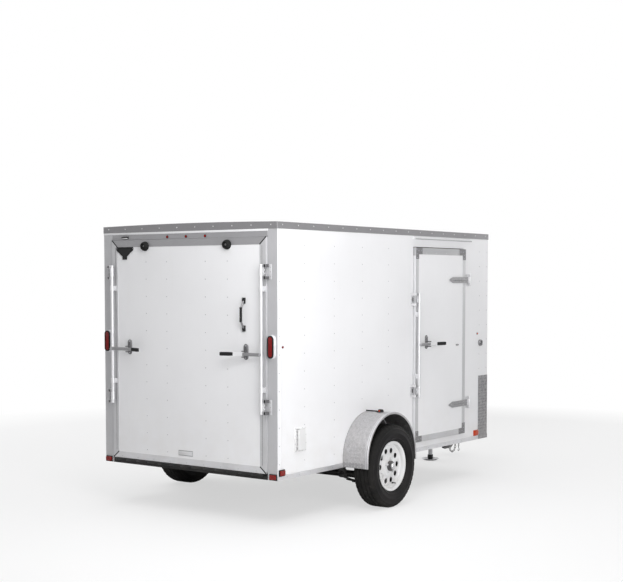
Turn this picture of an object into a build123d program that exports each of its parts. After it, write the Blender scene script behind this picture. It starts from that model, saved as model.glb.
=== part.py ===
from build123d import *
from math import cos, degrees, radians, sin, tan
import os

# Enclosed cargo trailer, single axle, ramp at the rear and a side door on the right.
# Millimetres. X forward, Y to the left, Z up. The floor is Z = 0 and X = 0 is the
# middle of the overall length. "Aft" values count forward from the rear face.

# Box body
body_length = 3307.0
body_width = 1829.0
body_bottom = 354.0
body_height = 1961.0
wall_thickness = 38.0
roof_edge = 35.0
roof_crown = 10.0
deck_thickness = 19.0
skin = 3.0

# Floor frame
rail_width = 51.0
rail_height = 51.0
crossmember_width = 38.0
crossmember_pitch = 406.4

# Rear frame
post_width = 97.0
post_depth = 51.0
sill_height = 34.0

# Trim along the foot, the roof and the lower corners
foot_trim_height = 38.0
foot_trim_proud = 3.0
roof_trim_height = 53.0
roof_trim_flange = 22.0
trim_gap = 0.4
guard_height = 610.0
guard_return = 178.0
guard_skin = 1.5

# Ramp leaf and its hinge
ramp_gap = 5.0
ramp_bottom = 400.0
ramp_thickness = 51.0
ramp_proud = 9.0
ramp_stile = 62.0
ramp_top_rail = 57.0
ramp_bottom_rail = 52.0
ramp_panel_inset = 3.0
mitre_gap = 1.6
header_drop = 60.0
header_gap = 7.0
hinge_radius = 9.0
hinge_out = 12.0
hinge_below = 3.0
hinge_inset = 28.5
hinge_knuckles = 13
knuckle_gap = 0.5
hinge_plate = 5.0

# Things on the ramp: insets from the leaf's side edges, drops from its top edge
bumper_inset = 379.5
bumper_drop = 53.0
bumper_radius = 38.5
bumper_height = 35.0
bumper_edge = 8.0
bumper_hollow = (17.0, 12.0)
pull_inset = 214.5
pull_z = (1496.0, 1727.0)
pull_reach = 45.0
pull_bar = 16.0
pull_slope = 40.0
pull_foot_width = 30.0
pull_foot_height = 28.0
pull_foot_steel = 4.0
plate_inset = 147.5
plate_width = 190.0
plate_bar = 25.0
plate_neck = 50.0
plate_drop = 102.0
plate_steel = 3.0
plate_hole_pitch = 177.8
plate_hole_radius = 3.5

# Cam-bar locks: two on the ramp and one on the side door
bar_radius = 13.0
bar_standoff = 30.0
bar_inset = 25.5
bar_foot = 455.0
bar_drop = 207.0
side_bar_inset = 15.0
side_bar_foot = 402.0
side_bar_drop = 397.0
keeper_length = 114.0
keeper_lug = 10.0
keeper_plate = 4.0
keeper_depth = 46.0
keeper_width = 44.0
keeper_clear = 1.0
cam_reach = 34.0
cam_height = 66.0
cam_thickness = 12.0
guide_height = 40.0
guide_steel = 4.0
guide_foot = 48.0
guide_offset = 130.0
lever_z = 1310.0
lever_bend_at = 171.0
lever_reach = 357.0
lever_bend = 15.0
lever_height = 26.0
lever_steel = 8.0
pivot_radius = 9.0
pivot_height = 6.0
grip_length = 113.0
grip_steel = 14.0
grip_height = 30.0
hasp_size = (45.0, 122.0)
hasp_drop = 16.0
hasp_ear = 9.0
hasp_bolt_radius = 5.0
hasp_bolt_height = 3.0
hasp_bolt_inset = 14.0

# Lamps
tail_lamp_inset = 51.5
tail_lamp_z = 1369.5
tail_lamp_size = (58.0, 173.0)
tail_lamp_proud = 30.0
tail_lamp_edge = 6.0
bezel_size = (74.0, 186.0)
bezel_thickness = 8.0
corner_lamp_proud = 16.0
lens_edge = 4.0
rear_lamp_size = (73.0, 48.0)
rear_lamp_inset = 42.5
rear_lamp_z = 379.0
side_red_size = (71.0, 51.0)
side_red_x = 47.0
side_red_z = 410.0
amber_size = (80.0, 52.0)
amber_behind_front = 224.0
amber_z = 421.0
dot_radius = 10.0
dot_proud = 9.0
dot_z = 1368.0
dot_red_x = 62.0
dot_amber_behind_front = 205.0
header_dot_radius = 12.0
header_dot_pitch = 200.0
header_lamp_rise = 12.0
plate_lamp_size = (24.0, 65.0, 22.0)
plate_lamp_inset = 152.5

# Side vents, side door, drip cap and hold-back
vent_x = (209.0, 361.0)
vent_z = (550.0, 740.0)
vent_proud = 26.0
vent_flange = 4.0
vent_margin = 14.0
vent_shelf = 24.0
vent_edge = 4.0
vent_slots = 3
vent_slot = (40.0, 12.0)
vent_rib = 8.0
door_behind_front = 474.0
door_width = 888.0
door_foot = 445.0
door_drop = 155.0
door_gap = 6.0
door_proud = 22.0
door_thickness = 42.0
door_stile = 54.0
door_top_rail = 58.0
door_bottom_rail = 53.0
door_panel_inset = 2.0
corner_long = 112.0
corner_tall = 100.0
corner_steel = 2.5
door_hinge_ahead = 69.0
door_hinge_out = 30.0
strap_inset = 284.5
strap_height = 55.0
strap_length = 367.0
strap_taper = 60.0
strap_tip = 12.0
strap_steel = 5.0
butt_height = 110.0
butt_x = (-24.0, 32.0)
butt_steel = 4.0
butt_radius = 10.0
drip_past = (10.0, 110.0)
drip_rise = 75.0
drip_edge = 6.0
drip_fall = 4.0
drip_height = 20.0
drip_proud = 25.0
holdback_z = 1279.0
holdback_behind_front = 155.0
holdback_cup_radius = 30.0
holdback_cup_out = 22.0
holdback_cup_wall = 8.0
holdback_cup_floor = 12.0
holdback_clip_behind_hinge = 217.0
holdback_clip_size = (50.0, 15.0)
holdback_clip_out = 12.0

# Axle, springs and wheels
axle_behind_middle = 423.5
tyre_radius = 344.0
tyre_section = 205.0
tread_width = 156.0
tyre_shoulder = 12.0
side_strips = 4
rim_radius = 207.0
rim_bead_radius = 190.0
rim_width = 152.0
rim_flange = 9.0
rim_flange_gap = 3.0
tyre_fit = 0.3
rim_wall = 5.0
rim_out = 245.5
disc_depth = 40.0
disc_steel = 6.0
disc_dish = 14.0
disc_boss = 42.0
well_start = 38.0
well_depth = 20.0
hub_radius = 66.0
hub_length = 92.0
hub_cap_radius = 32.0
hub_cap_out = 20.0
hub_cap_edge = 9.0
lug_count = 5
lug_circle = 57.15
lug_radius = 11.0
lug_height = 16.0
rim_hole_count = 10
rim_hole_radius = 20.0
rim_hole_circle = 127.0
centre_hole_radius = 42.0
axle_radius = 30.0
axle_drop = 102.0
axle_arm = 40.0
arm_gap = 18.0
spindle_radius = 22.0
spindle_fit = 0.3
spring_span = 660.0
spring_width = 44.0
spring_leaf = 8.0
spring_leaves = 3
spring_leaf_step = 0.26
spring_eye_lap = 6.0
spring_eye_radius = 18.0
spring_eye_z = 285.0
hanger_steel = 6.0
hanger_length = 70.0
hanger_gap = 0.5
hanger_past_eye = 4.0
shackle_drop = 42.0
shackle_width = 30.0
bolt_fit = 0.3
eye_bolt_radius = 7.0
bolt_head_radius = 12.0
bolt_head_height = 7.0
clamp_length = 100.0
clamp_past = 15.0
clamp_steel = 8.0
u_bolt_radius = 5.0
u_bolt_gap = 1.0
u_bolt_end = 16.0
nut_radius = 9.5
nut_height = 8.0

# Fenders
fender_radius = 370.0
fender_rise = 74.0
fender_foot = 360.0
fender_steel = 3.0
fender_lip = 14.0
fender_bead = 4.0
fender_bead_width = 10.0
fender_lamp_size = (58.0, 62.0, 22.0)
fender_lamp_out = 135.5
fender_lamp_back = 21.0
fender_lamp_seat = 4.0
fender_lamp_edge = 6.0
lead_radius = 3.0

# Tongue, coupler, jack and chains
tongue_reach = 1143.0
tongue_angle = 25.0
tongue_width = 51.0
tongue_height = 76.0
tongue_nose_gap = 92.0
coupler_steel = 5.0
coupler_length = 350.0
coupler_side = 52.0
ball_bore_radius = 25.8
ball_bore_depth = 44.0
socket_radius = 40.0
socket_top = 420.0
coupler_nose = 8.0
coupler_lip = 8.0
socket_foot = 12.0
socket_edge = 20.0
coupler_front_gap = 20.0
neck_length = 190.0
neck_rear = (110.0, 14.0)
neck_front = (60.0, 54.0)
latch_behind = 74.0
latch_width = 16.0
latch_height = 14.0
latch_reach = (96.0, 20.0)
latch_gap = 1.0
latch_ear = (26.0, 5.0)
latch_pin_radius = 5.0
latch_pin_rise = 62.0
latch_ear_above = 13.0
latch_tab = (12.0, 30.0, 24.0)
jack_ahead = 479.0
jack_tube_radius = 28.5
jack_leg_radius = 22.0
jack_leg_gap = 1.0
jack_tube_z = (262.0, 930.0)
jack_leg_top = 640.0
jack_lift = 200.0
jack_spare = 10.0
jack_foot_radius = 92.0
jack_foot_flat = 60.0
jack_foot_height = 20.0
jack_foot_steel = 4.0
jack_socket_radius = 28.0
jack_socket_height = 58.0
jack_bracket_height = 51.0
jack_bracket_width = 90.0
jack_flange_steel = 8.0
jack_flange_lap = 1.0
jack_bolt_circle = 37.0
jack_bolt_radius = 6.5
jack_bolt_height = 5.0
jack_cap_lap = 6.0
jack_cap_skirt = 30.0
jack_cap_rise = 22.0
jack_cap_edge = 7.0
crank_drop = 4.0
crank_out = 95.0
crank_shaft_radius = 7.0
crank_steel = 7.0
crank_width = 20.0
crank_reach = 156.0
knob_radius = 12.0
knob_length = 80.0
chain_wire = 7.0
chain_pitch = 27.0
chain_inner_width = 11.0
chain_play = 0.8
link_corner = 0.6
wire_flat = 0.84
hook_radius = 17.0
hook_wire = 8.0
hook_shank = 10.0
chain_plate_steel = 6.0
chain_plate_width = 120.0
chain_plate_rear = 320.0
chain_plate_front = 45.0
chain_rows = (
    # behind the ball, Y, drop, width of the loop
    (290.0, -15.0, 240.0, 120.0),
    (65.0, 0.0, 170.0, 0.0),
)

# Worked out from the sizes above
deck_top = body_bottom + rail_height + deck_thickness
body_top = body_bottom + body_height
roof_bottom = body_top - roof_edge - skin
half_width = body_width / 2
inner_half = half_width - wall_thickness
rail_outer = half_width - skin
bend_out = (lever_reach - lever_bend_at) * tan(radians(lever_bend))
rear_reach = ramp_proud + bar_standoff + bar_radius + bend_out + grip_steel / 2 * cos(radians(lever_bend))
front_reach = tongue_reach + socket_radius + coupler_nose
overall_length = rear_reach + body_length + front_reach
rear_x = rear_reach - overall_length / 2
front_x = rear_x + body_length
ball_x = front_x + tongue_reach
jack_x = front_x + jack_ahead
tongue_rear = ball_x - (rail_outer - rail_width / 2) / tan(radians(tongue_angle))
ramp_half = half_width - post_width - ramp_gap
ramp_top = body_top - roof_trim_height - header_drop
header_bottom = ramp_top + header_gap
ramp_face = rear_x - ramp_proud
hinge_half_length = ramp_half - hinge_inset
hinge_x = rear_x - hinge_out
hinge_z = ramp_bottom - hinge_radius - hinge_below
bar_x = ramp_face - bar_standoff
bar_y = ramp_half - bar_inset
bar_z = (ramp_bottom + bar_foot, ramp_top - bar_drop)
tail_lamp_y = half_width - tail_lamp_inset
door_face = -half_width - door_proud
door_front = front_x - door_behind_front
door_rear = door_front - door_width
door_z = (door_foot, body_top - door_drop)
door_hinge_x = door_front + door_hinge_ahead
door_hinge_y = -half_width - door_hinge_out
strap_z = (door_z[0] + strap_inset, door_z[1] - strap_inset)
side_bar_z = (door_z[0] + side_bar_foot, door_z[1] - side_bar_drop)
wheel_centre_x = (rear_x + front_x) / 2 - axle_behind_middle
rim_face_y = half_width + rim_out
wheel_y = rim_face_y - rim_width / 2


def aft(x):
    """X of a place that lies x forward of the rear face."""
    return rear_x + x


def block(x_span, y_span, z_span):
    """Box between two values on each axis."""
    spans = (x_span, y_span, z_span)
    size = [high - low for low, high in spans]
    middle = [(low + high) / 2 for low, high in spans]
    return Pos(*middle) * Box(*size)


def around(middle, width):
    """Span of a width about its middle."""
    return (middle - width / 2, middle + width / 2)


def rod_x(radius, x_span, y, z):
    return Pos(sum(x_span) / 2, y, z) * Rot(0, 90, 0) * Cylinder(radius, x_span[1] - x_span[0])


def rod_y(radius, y_span, x, z):
    return Pos(x, sum(y_span) / 2, z) * Rot(90, 0, 0) * Cylinder(radius, y_span[1] - y_span[0])


def rod_z(radius, z_span, x, y):
    return Pos(x, y, sum(z_span) / 2) * Cylinder(radius, z_span[1] - z_span[0])


def hexagon_y(radius, y_span, x, z):
    """Bolt head or nut along Y."""
    return Pos(x, y_span[1], z) * Rot(90, 0, 0) * extrude(RegularPolygon(radius, 6), y_span[1] - y_span[0])


def hexagon_z(radius, z_span, x, y):
    """Bolt head or nut along Z."""
    return Pos(x, y, z_span[0]) * extrude(RegularPolygon(radius, 6), z_span[1] - z_span[0])


def oval_x(width, height, x_span, y, z):
    """Plate with round ends, upright in the YZ plane, thick along X."""
    middle = Pos(x_span[0], y, z) * Rot(0, 90, 0) * Rot(0, 0, 90)
    outline = SlotOverall(max(width, height), min(width, height), rotation=90 if height > width else 0)
    return middle * extrude(outline, x_span[1] - x_span[0])


def swap_side(shape):
    """The same piece on the other side of the trailer."""
    return mirror(shape, about=Plane.XZ)


def both_sides(shape):
    return [shape, swap_side(shape)]


# Floor frame and deck


def side_rails():
    return both_sides(
        block(
            (aft(post_depth), front_x - skin),
            (rail_outer - rail_width, rail_outer),
            (body_bottom, body_bottom + rail_height),
        )
    )


def crossmembers():
    """Front and rear members and the ones between, all between the side rails."""
    half = rail_outer - rail_width
    z_span = (body_bottom, body_bottom + rail_height)
    first = aft(post_depth)
    last = front_x - skin - crossmember_width
    count = int((last - first) / crossmember_pitch)
    pitch = (last - first) / count
    members = []
    for step in range(count + 1):
        start = first + step * pitch
        members.append(block((start, start + crossmember_width), (-half, half), z_span))
    return members


def floor_deck():
    return block(
        (aft(post_depth), front_x - wall_thickness),
        (-inner_half, inner_half),
        (deck_top - deck_thickness, deck_top),
    )


# Walls and roof


def wall_foot(x_span, y_span):
    """Skin that laps down over the rail as far as the foot trim."""
    return block(x_span, y_span, (body_bottom + foot_trim_height, body_bottom + rail_height))


def side_wall():
    """Right wall without its doorway."""
    x_span = (aft(post_depth), front_x)
    panel = block(x_span, (-half_width, -inner_half), (body_bottom + rail_height, roof_bottom))
    return panel + wall_foot(x_span, (-half_width, -rail_outer))


def wall_right():
    doorway = block(
        (door_rear - door_gap, door_front + door_gap),
        (-half_width - skin, -inner_half + skin),
        (door_z[0] - door_gap, door_z[1] + door_gap),
    )
    return side_wall() - doorway


def wall_left():
    return swap_side(side_wall())


def wall_front():
    y_span = (-inner_half, inner_half)
    x_span = (front_x - wall_thickness, front_x)
    panel = block(x_span, y_span, (body_bottom + rail_height, roof_bottom))
    return panel + wall_foot((front_x - skin, front_x), y_span)


def crown_profile(low, edge, crown):
    """Section across the roof: flat below, a low arc above."""
    with BuildSketch(Plane.YZ) as section:
        with BuildLine():
            Polyline((half_width, edge), (half_width, low), (-half_width, low), (-half_width, edge))
            ThreePointArc((-half_width, edge), (0, edge + crown), (half_width, edge))
        make_face()
    return section.sketch


def roof_panel():
    section = crown_profile(roof_bottom, body_top - skin, roof_crown)
    return Pos(rear_x, 0, 0) * extrude(section, body_length)


def roof_trim():
    """Cap rail on all four edges: a face strip, and a top flange on the long sides."""
    low = body_top - roof_trim_height
    side_face = block(
        (rear_x - skin, front_x + skin), (half_width, half_width + skin), (low, body_top)
    )
    side_top = block(
        (rear_x, front_x), (half_width - roof_trim_flange, half_width), (body_top - skin, body_top)
    )
    cut = Pos(rear_x, 0, 0) * extrude(crown_profile(roof_bottom, body_top - skin, roof_crown), body_length)
    pieces = both_sides(side_face + (side_top - cut))
    for start in (rear_x - skin, front_x):
        end_face = Pos(start, 0, 0) * extrude(crown_profile(low, body_top, roof_crown), skin)
        inside = block(
            (start - skin, start + 2 * skin),
            (-half_width + trim_gap, half_width - trim_gap),
            (low, body_top + 2 * roof_crown),
        )
        pieces.append(end_face & inside)
    return pieces


def foot_trim():
    """Riveted strip over the rail along both sides and the front."""
    z_span = (body_bottom, body_bottom + foot_trim_height)
    outer = half_width + foot_trim_proud
    side = block((aft(0), front_x - skin), (rail_outer, outer), z_span)
    side -= block((aft(-1), aft(post_depth)), (rail_outer - 1, half_width), (0, body_top))
    front = block(
        (front_x - skin, front_x + foot_trim_proud),
        (-rail_outer + trim_gap, rail_outer - trim_gap),
        z_span,
    )
    return both_sides(side) + [front]


def stone_guard():
    """Tread plate over the foot of the front wall, wrapped round both corners."""
    foot = body_bottom + foot_trim_height + trim_gap
    z_span = (foot, body_bottom + guard_height)
    front = block(
        (front_x, front_x + guard_skin), (-half_width - guard_skin, half_width + guard_skin), z_span
    )
    side = block((front_x - guard_return, front_x), (half_width, half_width + guard_skin), z_span)
    return front + side + swap_side(side)


# Rear frame


def rear_posts():
    return both_sides(
        block(
            (rear_x, aft(post_depth)),
            (half_width - post_width, half_width),
            (body_bottom, roof_bottom),
        )
    )


def rear_header():
    half = half_width - post_width
    return block((rear_x, aft(post_depth)), (-half, half), (header_bottom, roof_bottom))


def knuckle_spans():
    """Y spans of the ramp hinge's knuckles, from right to left."""
    pitch = 2 * hinge_half_length / hinge_knuckles
    starts = [-hinge_half_length + step * pitch for step in range(hinge_knuckles)]
    return [(start + knuckle_gap / 2, start + pitch - knuckle_gap / 2) for start in starts]


def rear_sill():
    """Sill tube below the ramp, with every second knuckle of the ramp's hinge."""
    half = half_width - post_width
    sill = block((rear_x, aft(post_depth)), (-half, half), (body_bottom, body_bottom + sill_height))
    for y_span in knuckle_spans()[0::2]:
        sill += rod_y(hinge_radius, y_span, hinge_x, hinge_z)
        sill += block((hinge_x, rear_x), y_span, (hinge_z - hinge_radius, hinge_z - hinge_radius + hinge_plate))
    return sill


# Locks


def keeper(inward):
    """Keeper with two lugs on a base plate, drawn on the plane X = 0, its lugs towards -X.

    inward is the side, +1 or -1 along Y, on which the bar passes."""
    base = block((-keeper_plate, 0), around(0, keeper_width), around(0, keeper_length))
    lug_z = keeper_length / 2 - keeper_lug / 2
    lug_y = around(inward * keeper_width / 4, keeper_width / 2)
    for height in (-lug_z, lug_z):
        base += block((-keeper_depth, -keeper_plate), lug_y, around(height, keeper_lug))
    return base


def lock_bar(z_span):
    """Bar with its cams, and the guides that wrap round it."""
    bar = rod_z(bar_radius, z_span, 0, 0)
    ends = (z_span[0] + keeper_length / 2, z_span[1] - keeper_length / 2)
    for height in ends:
        bar += block(around(0, cam_thickness), (-cam_reach, 0), around(height, cam_height))
    for height in (ends[0] + guide_offset, ends[1] - guide_offset):
        tall = around(height, guide_height)
        bar += rod_z(bar_radius + guide_steel, tall, 0, 0)
        bar += block((0, bar_standoff), around(0, 2 * (bar_radius + guide_steel)), tall)
        bar += block((bar_standoff - guide_steel, bar_standoff), around(0, guide_foot), tall)
    return bar


def bent_run(size, start):
    """Bar of a size along the lever's bent end, starting so far past the bend."""
    thick, long, tall = size
    bar = Pos(0, start + long / 2, 0) * Box(thick, long, tall)
    return Pos(-bar_radius, lever_bend_at, lever_z) * Rot(0, 0, lever_bend) * bar


def bent_length():
    return (lever_reach - lever_bend_at) / cos(radians(lever_bend))


def lock_lever():
    """Flat lever from the bar, past the hasp, bent outwards to its grip's root."""
    flat = block(
        (-bar_radius - lever_steel / 2, -bar_radius + lever_steel / 2),
        (0, lever_bend_at),
        around(lever_z, lever_height),
    )
    pivot = rod_x(pivot_radius, (-bar_radius - lever_steel / 2 - pivot_height, -bar_radius), 0, lever_z)
    return flat + pivot + bent_run((lever_steel, bent_length() - grip_length, lever_height), 0)


def lock_grip():
    """Black grip on the lever's end."""
    return bent_run((grip_steel, grip_length, grip_height), bent_length() - grip_length)


def lock_hasp(inset):
    """Oval plate on the leaf's panel, with an ear above and below the lever."""
    low = bar_standoff - keeper_plate
    seat = bar_standoff + inset
    hasp = oval_x(hasp_size[0], hasp_size[1], (low, seat), lever_bend_at, lever_z + hasp_drop)
    for side in (-1, 1):
        ear_z = lever_z + side * (lever_height / 2 + hasp_ear)
        ear = around(lever_bend_at, hasp_ear)
        hasp += block((-bar_radius - lever_steel, low), ear, around(ear_z, hasp_ear))
        bolt_z = lever_z + hasp_drop + side * (hasp_size[1] / 2 - hasp_bolt_inset)
        hasp += rod_x(hasp_bolt_radius, (low - hasp_bolt_height, low), lever_bend_at, bolt_z)
    return hasp


def lock(z_span, inset):
    """Bar, cams, guides and lever in one piece, and the hasp beside it.

    Drawn at the bar's axis with the leaf at +X, the lever towards +Y and the cams towards -Y.
    inset is how far the leaf's panel lies behind its frame."""
    return [lock_bar(z_span) + lock_lever(), lock_hasp(inset)]


# Rear hardware on the ramp


def ramp_frame():
    """Four mitred extrusions round the leaf."""
    x_span = (ramp_face, ramp_face + ramp_thickness)
    low, high = ramp_bottom, ramp_top
    outline = [(-ramp_half, low), (ramp_half, low), (ramp_half, high), (-ramp_half, high)]
    inset_y = ramp_half - ramp_stile
    inner = [
        (-inset_y, low + ramp_bottom_rail),
        (inset_y, low + ramp_bottom_rail),
        (inset_y, high - ramp_top_rail),
        (-inset_y, high - ramp_top_rail),
    ]
    pieces = []
    for corner in range(4):
        after = (corner + 1) % 4
        corners = [outline[corner], outline[after], inner[after], inner[corner]]
        along = Vector(*outline[after]) - Vector(*outline[corner])
        shift = along.normalized() * mitre_gap
        corners = [
            Vector(*corners[0]) + shift,
            Vector(*corners[1]) - shift,
            Vector(*corners[2]) - shift,
            Vector(*corners[3]) + shift,
        ]
        with BuildSketch(Plane.YZ) as face:
            with BuildLine():
                Polyline(*[(p.X, p.Y) for p in corners], close=True)
            make_face()
        pieces.append(Pos(x_span[0], 0, 0) * extrude(face.sketch, ramp_thickness))
    return pieces


def ramp_panel():
    half = ramp_half - ramp_stile
    return block(
        (ramp_face + ramp_panel_inset, ramp_face + ramp_thickness),
        (-half, half),
        (ramp_bottom + ramp_bottom_rail, ramp_top - ramp_top_rail),
    )


def ramp_hinge():
    """The ramp's own knuckles, each with a plate under the leaf."""
    pieces = []
    for y_span in knuckle_spans()[1::2]:
        knuckle = rod_y(hinge_radius, y_span, hinge_x, hinge_z)
        plate = block((hinge_x, aft(ramp_proud)), y_span, (ramp_bottom - hinge_plate, ramp_bottom))
        pieces.append(knuckle + plate)
    return pieces


def on_ramp_side(shape):
    """Puts a piece of the lock on the ramp's right side, facing the rear."""
    return Pos(bar_x, -bar_y, 0) * shape


def ramp_locks():
    return [side for piece in lock(bar_z, ramp_panel_inset) for side in both_sides(on_ramp_side(piece))]


def ramp_grips():
    return both_sides(on_ramp_side(lock_grip()))


def ramp_bumpers():
    """Round rubber bumpers with a bevelled edge and a hollow in the middle."""
    y = ramp_half - bumper_inset
    z = ramp_top - bumper_drop
    end = ramp_face - bumper_height
    radius, depth = bumper_hollow
    bumper = rod_x(bumper_radius, (end, ramp_face), y, z)
    bumper = chamfer(bumper.faces().sort_by(Axis.X)[0].edges(), bumper_edge)
    return both_sides(bumper - rod_x(radius, (end - 1, end + depth), y, z))


def ramp_pull():
    """Straight grip on two angled legs with flat feet."""
    face = ramp_face + ramp_panel_inset
    out = face - pull_reach
    pull_y = pull_inset - ramp_half
    low, high = pull_z
    points = [(face, low), (out, low + pull_slope), (out, high - pull_slope), (face, high)]
    with BuildPart() as pull:
        with BuildLine():
            Polyline(*[(x, pull_y, z) for x, z in points])
        with BuildSketch(Plane((face, pull_y, low), z_dir=(-pull_reach, 0, pull_slope))):
            Circle(pull_bar / 2)
        sweep(transition=Transition.RIGHT)
    width = around(pull_y, pull_foot_width)
    handle = pull.part
    for end in pull_z:
        handle += block((face - pull_foot_steel, face), width, around(end, pull_foot_height))
    in_front = block((out - pull_bar, face), width, (low - pull_foot_height, high + pull_foot_height))
    return handle & in_front


def plate_bracket():
    """Licence plate holder: a bar with two holes over a tapered neck."""
    face = ramp_face
    plate_y = ramp_half - plate_inset
    plate_top = ramp_top - ramp_top_rail
    bottom = plate_top - plate_drop
    bar_low = plate_top - plate_bar
    half = plate_width / 2
    neck = plate_neck / 2
    with BuildSketch(Plane.YZ) as face_shape:
        with BuildLine():
            Polyline(
                (plate_y - half, plate_top),
                (plate_y + half, plate_top),
                (plate_y + half, bar_low),
                (plate_y + neck, bottom + plate_bar),
                (plate_y + neck, bottom),
                (plate_y - neck, bottom),
                (plate_y - neck, bottom + plate_bar),
                (plate_y - half, bar_low),
                close=True,
            )
        make_face()
    bracket = Pos(face - plate_steel, 0, 0) * extrude(face_shape.sketch, plate_steel)
    for side in (-1, 1):
        y = plate_y + side * plate_hole_pitch / 2
        hole = rod_x(plate_hole_radius, (face - 2 * plate_steel, face + 1), y, plate_top - plate_bar / 2)
        bracket -= hole
    return bracket


# Side door


def side_door_frame():
    """Edge extrusion round the leaf, in one piece."""
    y_span = (door_face, door_face + door_thickness)
    x_span = (door_rear, door_front)
    outer = block(x_span, y_span, door_z)
    inner = block(
        (x_span[0] + door_stile, x_span[1] - door_stile),
        (y_span[0] - 1, y_span[1] + 1),
        (door_z[0] + door_bottom_rail, door_z[1] - door_top_rail),
    )
    return outer - inner


def side_door_panel():
    return block(
        (door_rear + door_stile, door_front - door_stile),
        (door_face + door_panel_inset, door_face + door_thickness),
        (door_z[0] + door_bottom_rail, door_z[1] - door_top_rail),
    )


def side_door_corners():
    """L-shaped corner plates over the frame's joints."""
    y_span = (door_face - corner_steel, door_face)
    pieces = []
    for x_sign, x_edge in ((1, door_rear), (-1, door_front)):
        rails = ((1, door_z[0], door_bottom_rail), (-1, door_z[1], door_top_rail))
        for z_sign, z_edge, rail in rails:
            long_x = sorted((x_edge, x_edge + x_sign * corner_long))
            short_x = sorted((x_edge, x_edge + x_sign * door_stile))
            long_z = sorted((z_edge, z_edge + z_sign * corner_tall))
            short_z = sorted((z_edge, z_edge + z_sign * rail))
            pieces.append(block(long_x, y_span, short_z) + block(short_x, y_span, long_z))
    return pieces


def turn_to_side(shape, x, y):
    """Puts a piece that was drawn facing -X on the right side, facing -Y."""
    return Pos(x, y, 0) * Rot(0, 0, 90) * shape


def on_side_door(shape):
    """Puts a piece of the lock on the side door, facing outwards, its lever towards the front."""
    faced = Rot(0, 0, 90) * swap_side(shape)
    return Pos(door_rear + side_bar_inset, door_face - bar_standoff, 0) * faced


def side_door_lock():
    face = door_face + door_panel_inset
    clip = block(
        around(door_hinge_x - holdback_clip_behind_hinge, holdback_clip_size[0]),
        (face - holdback_clip_out, face),
        around(holdback_z, holdback_clip_size[1]),
    )
    return [on_side_door(piece) for piece in lock(side_bar_z, door_panel_inset)] + [clip]


def side_door_grip():
    return on_side_door(lock_grip())


def strap_outline(z):
    """Strap from the hinge barrel to its pointed tip."""
    high = z + strap_height / 2
    low = z - strap_height / 2
    tip = door_hinge_x - strap_length
    with BuildSketch(Plane.XZ) as outline:
        with BuildLine():
            Polyline(
                (door_hinge_x, low),
                (door_hinge_x, high),
                (tip + strap_taper, high),
                (tip, z + strap_tip / 2),
                (tip, z - strap_tip / 2),
                (tip + strap_taper, low),
                close=True,
            )
        make_face()
    return Pos(0, door_face, 0) * extrude(outline.sketch, strap_steel)


def side_hinge_straps():
    pieces = []
    for z in strap_z:
        z_span = around(z, strap_height)
        barrel = rod_z(butt_radius, z_span, door_hinge_x, door_hinge_y)
        pieces.append(strap_outline(z) + barrel)
    return pieces


def side_hinge_butts():
    """Wall halves of the hinges: a plate, and a barrel above and below the strap's."""
    pieces = []
    for z in strap_z:
        plate = block(
            (door_hinge_x + butt_x[0], door_hinge_x + butt_x[1]),
            (-half_width - butt_steel, -half_width),
            around(z, butt_height),
        )
        for sign in (-1, 1):
            low, high = sorted((z + sign * (strap_height / 2 + knuckle_gap), z + sign * butt_height / 2))
            plate += rod_z(butt_radius, (low, high), door_hinge_x, door_hinge_y)
            plate += block(
                (door_hinge_x - butt_radius / 2, door_hinge_x + butt_radius),
                (door_hinge_y, -half_width - butt_steel),
                (low, high),
            )
        pieces.append(plate)
    return pieces


def drip_cap():
    """Sloped rain lip over the side door."""
    low = door_z[1] + drip_rise
    with BuildSketch(Plane.YZ) as section:
        with BuildLine():
            Polyline(
                (-half_width, low + drip_height),
                (-half_width, low),
                (-half_width - drip_proud, low - drip_fall),
                (-half_width - drip_proud, low - drip_fall + drip_edge),
                close=True,
            )
        make_face()
    long = drip_past[0] + door_width + drip_past[1]
    return Pos(door_rear - drip_past[0], 0, 0) * extrude(section.sketch, long)


def door_holdback():
    """Cup on the wall that catches the open door."""
    x = front_x - holdback_behind_front
    face = -half_width - holdback_cup_out
    cup = rod_y(holdback_cup_radius, (face, -half_width), x, holdback_z)
    pocket_end = -half_width - holdback_cup_floor
    return cup - rod_y(holdback_cup_radius - holdback_cup_wall, (face - 1, pocket_end), x, holdback_z)


def lock_keepers():
    """Keepers on the rear posts and beside the side door."""
    keeper_y = ramp_half + ramp_gap + keeper_width / 2
    pieces = []
    for height in (bar_z[0] + keeper_length / 2, bar_z[1] - keeper_length / 2):
        pieces += both_sides(Pos(rear_x, -keeper_y, height) * keeper(1))
    side_x = door_rear - door_gap - keeper_clear - keeper_width / 2
    for height in (side_bar_z[0] + keeper_length / 2, side_bar_z[1] - keeper_length / 2):
        shape = Pos(0, 0, height) * keeper(-1)
        pieces.append(turn_to_side(shape, side_x, -half_width))
    return pieces


# Lamps and vents


def tail_lamp_bezels():
    bezel = oval_x(bezel_size[0], bezel_size[1], (rear_x - bezel_thickness, rear_x), tail_lamp_y, tail_lamp_z)
    return both_sides(bezel)


def tail_lamps():
    outer = rear_x - bezel_thickness
    wide, tall = tail_lamp_size
    lens = oval_x(wide, tall, (rear_x - tail_lamp_proud, outer), tail_lamp_y, tail_lamp_z)
    return both_sides(chamfer(lens.faces().sort_by(Axis.X)[0].edges(), tail_lamp_edge))


def corner_lamp(x_span, size, z):
    """Lamp on the foot trim's left side, with a bevelled lens."""
    side = half_width + foot_trim_proud
    lamp = block(x_span, (side, side + corner_lamp_proud), around(z, size[1]))
    return chamfer(lamp.faces().sort_by(Axis.Y)[-1].edges(), lens_edge)


def dot_lamp(x):
    """Small round lamp on the left wall."""
    return rod_y(dot_radius, (half_width, half_width + dot_proud), x, dot_z)


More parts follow.
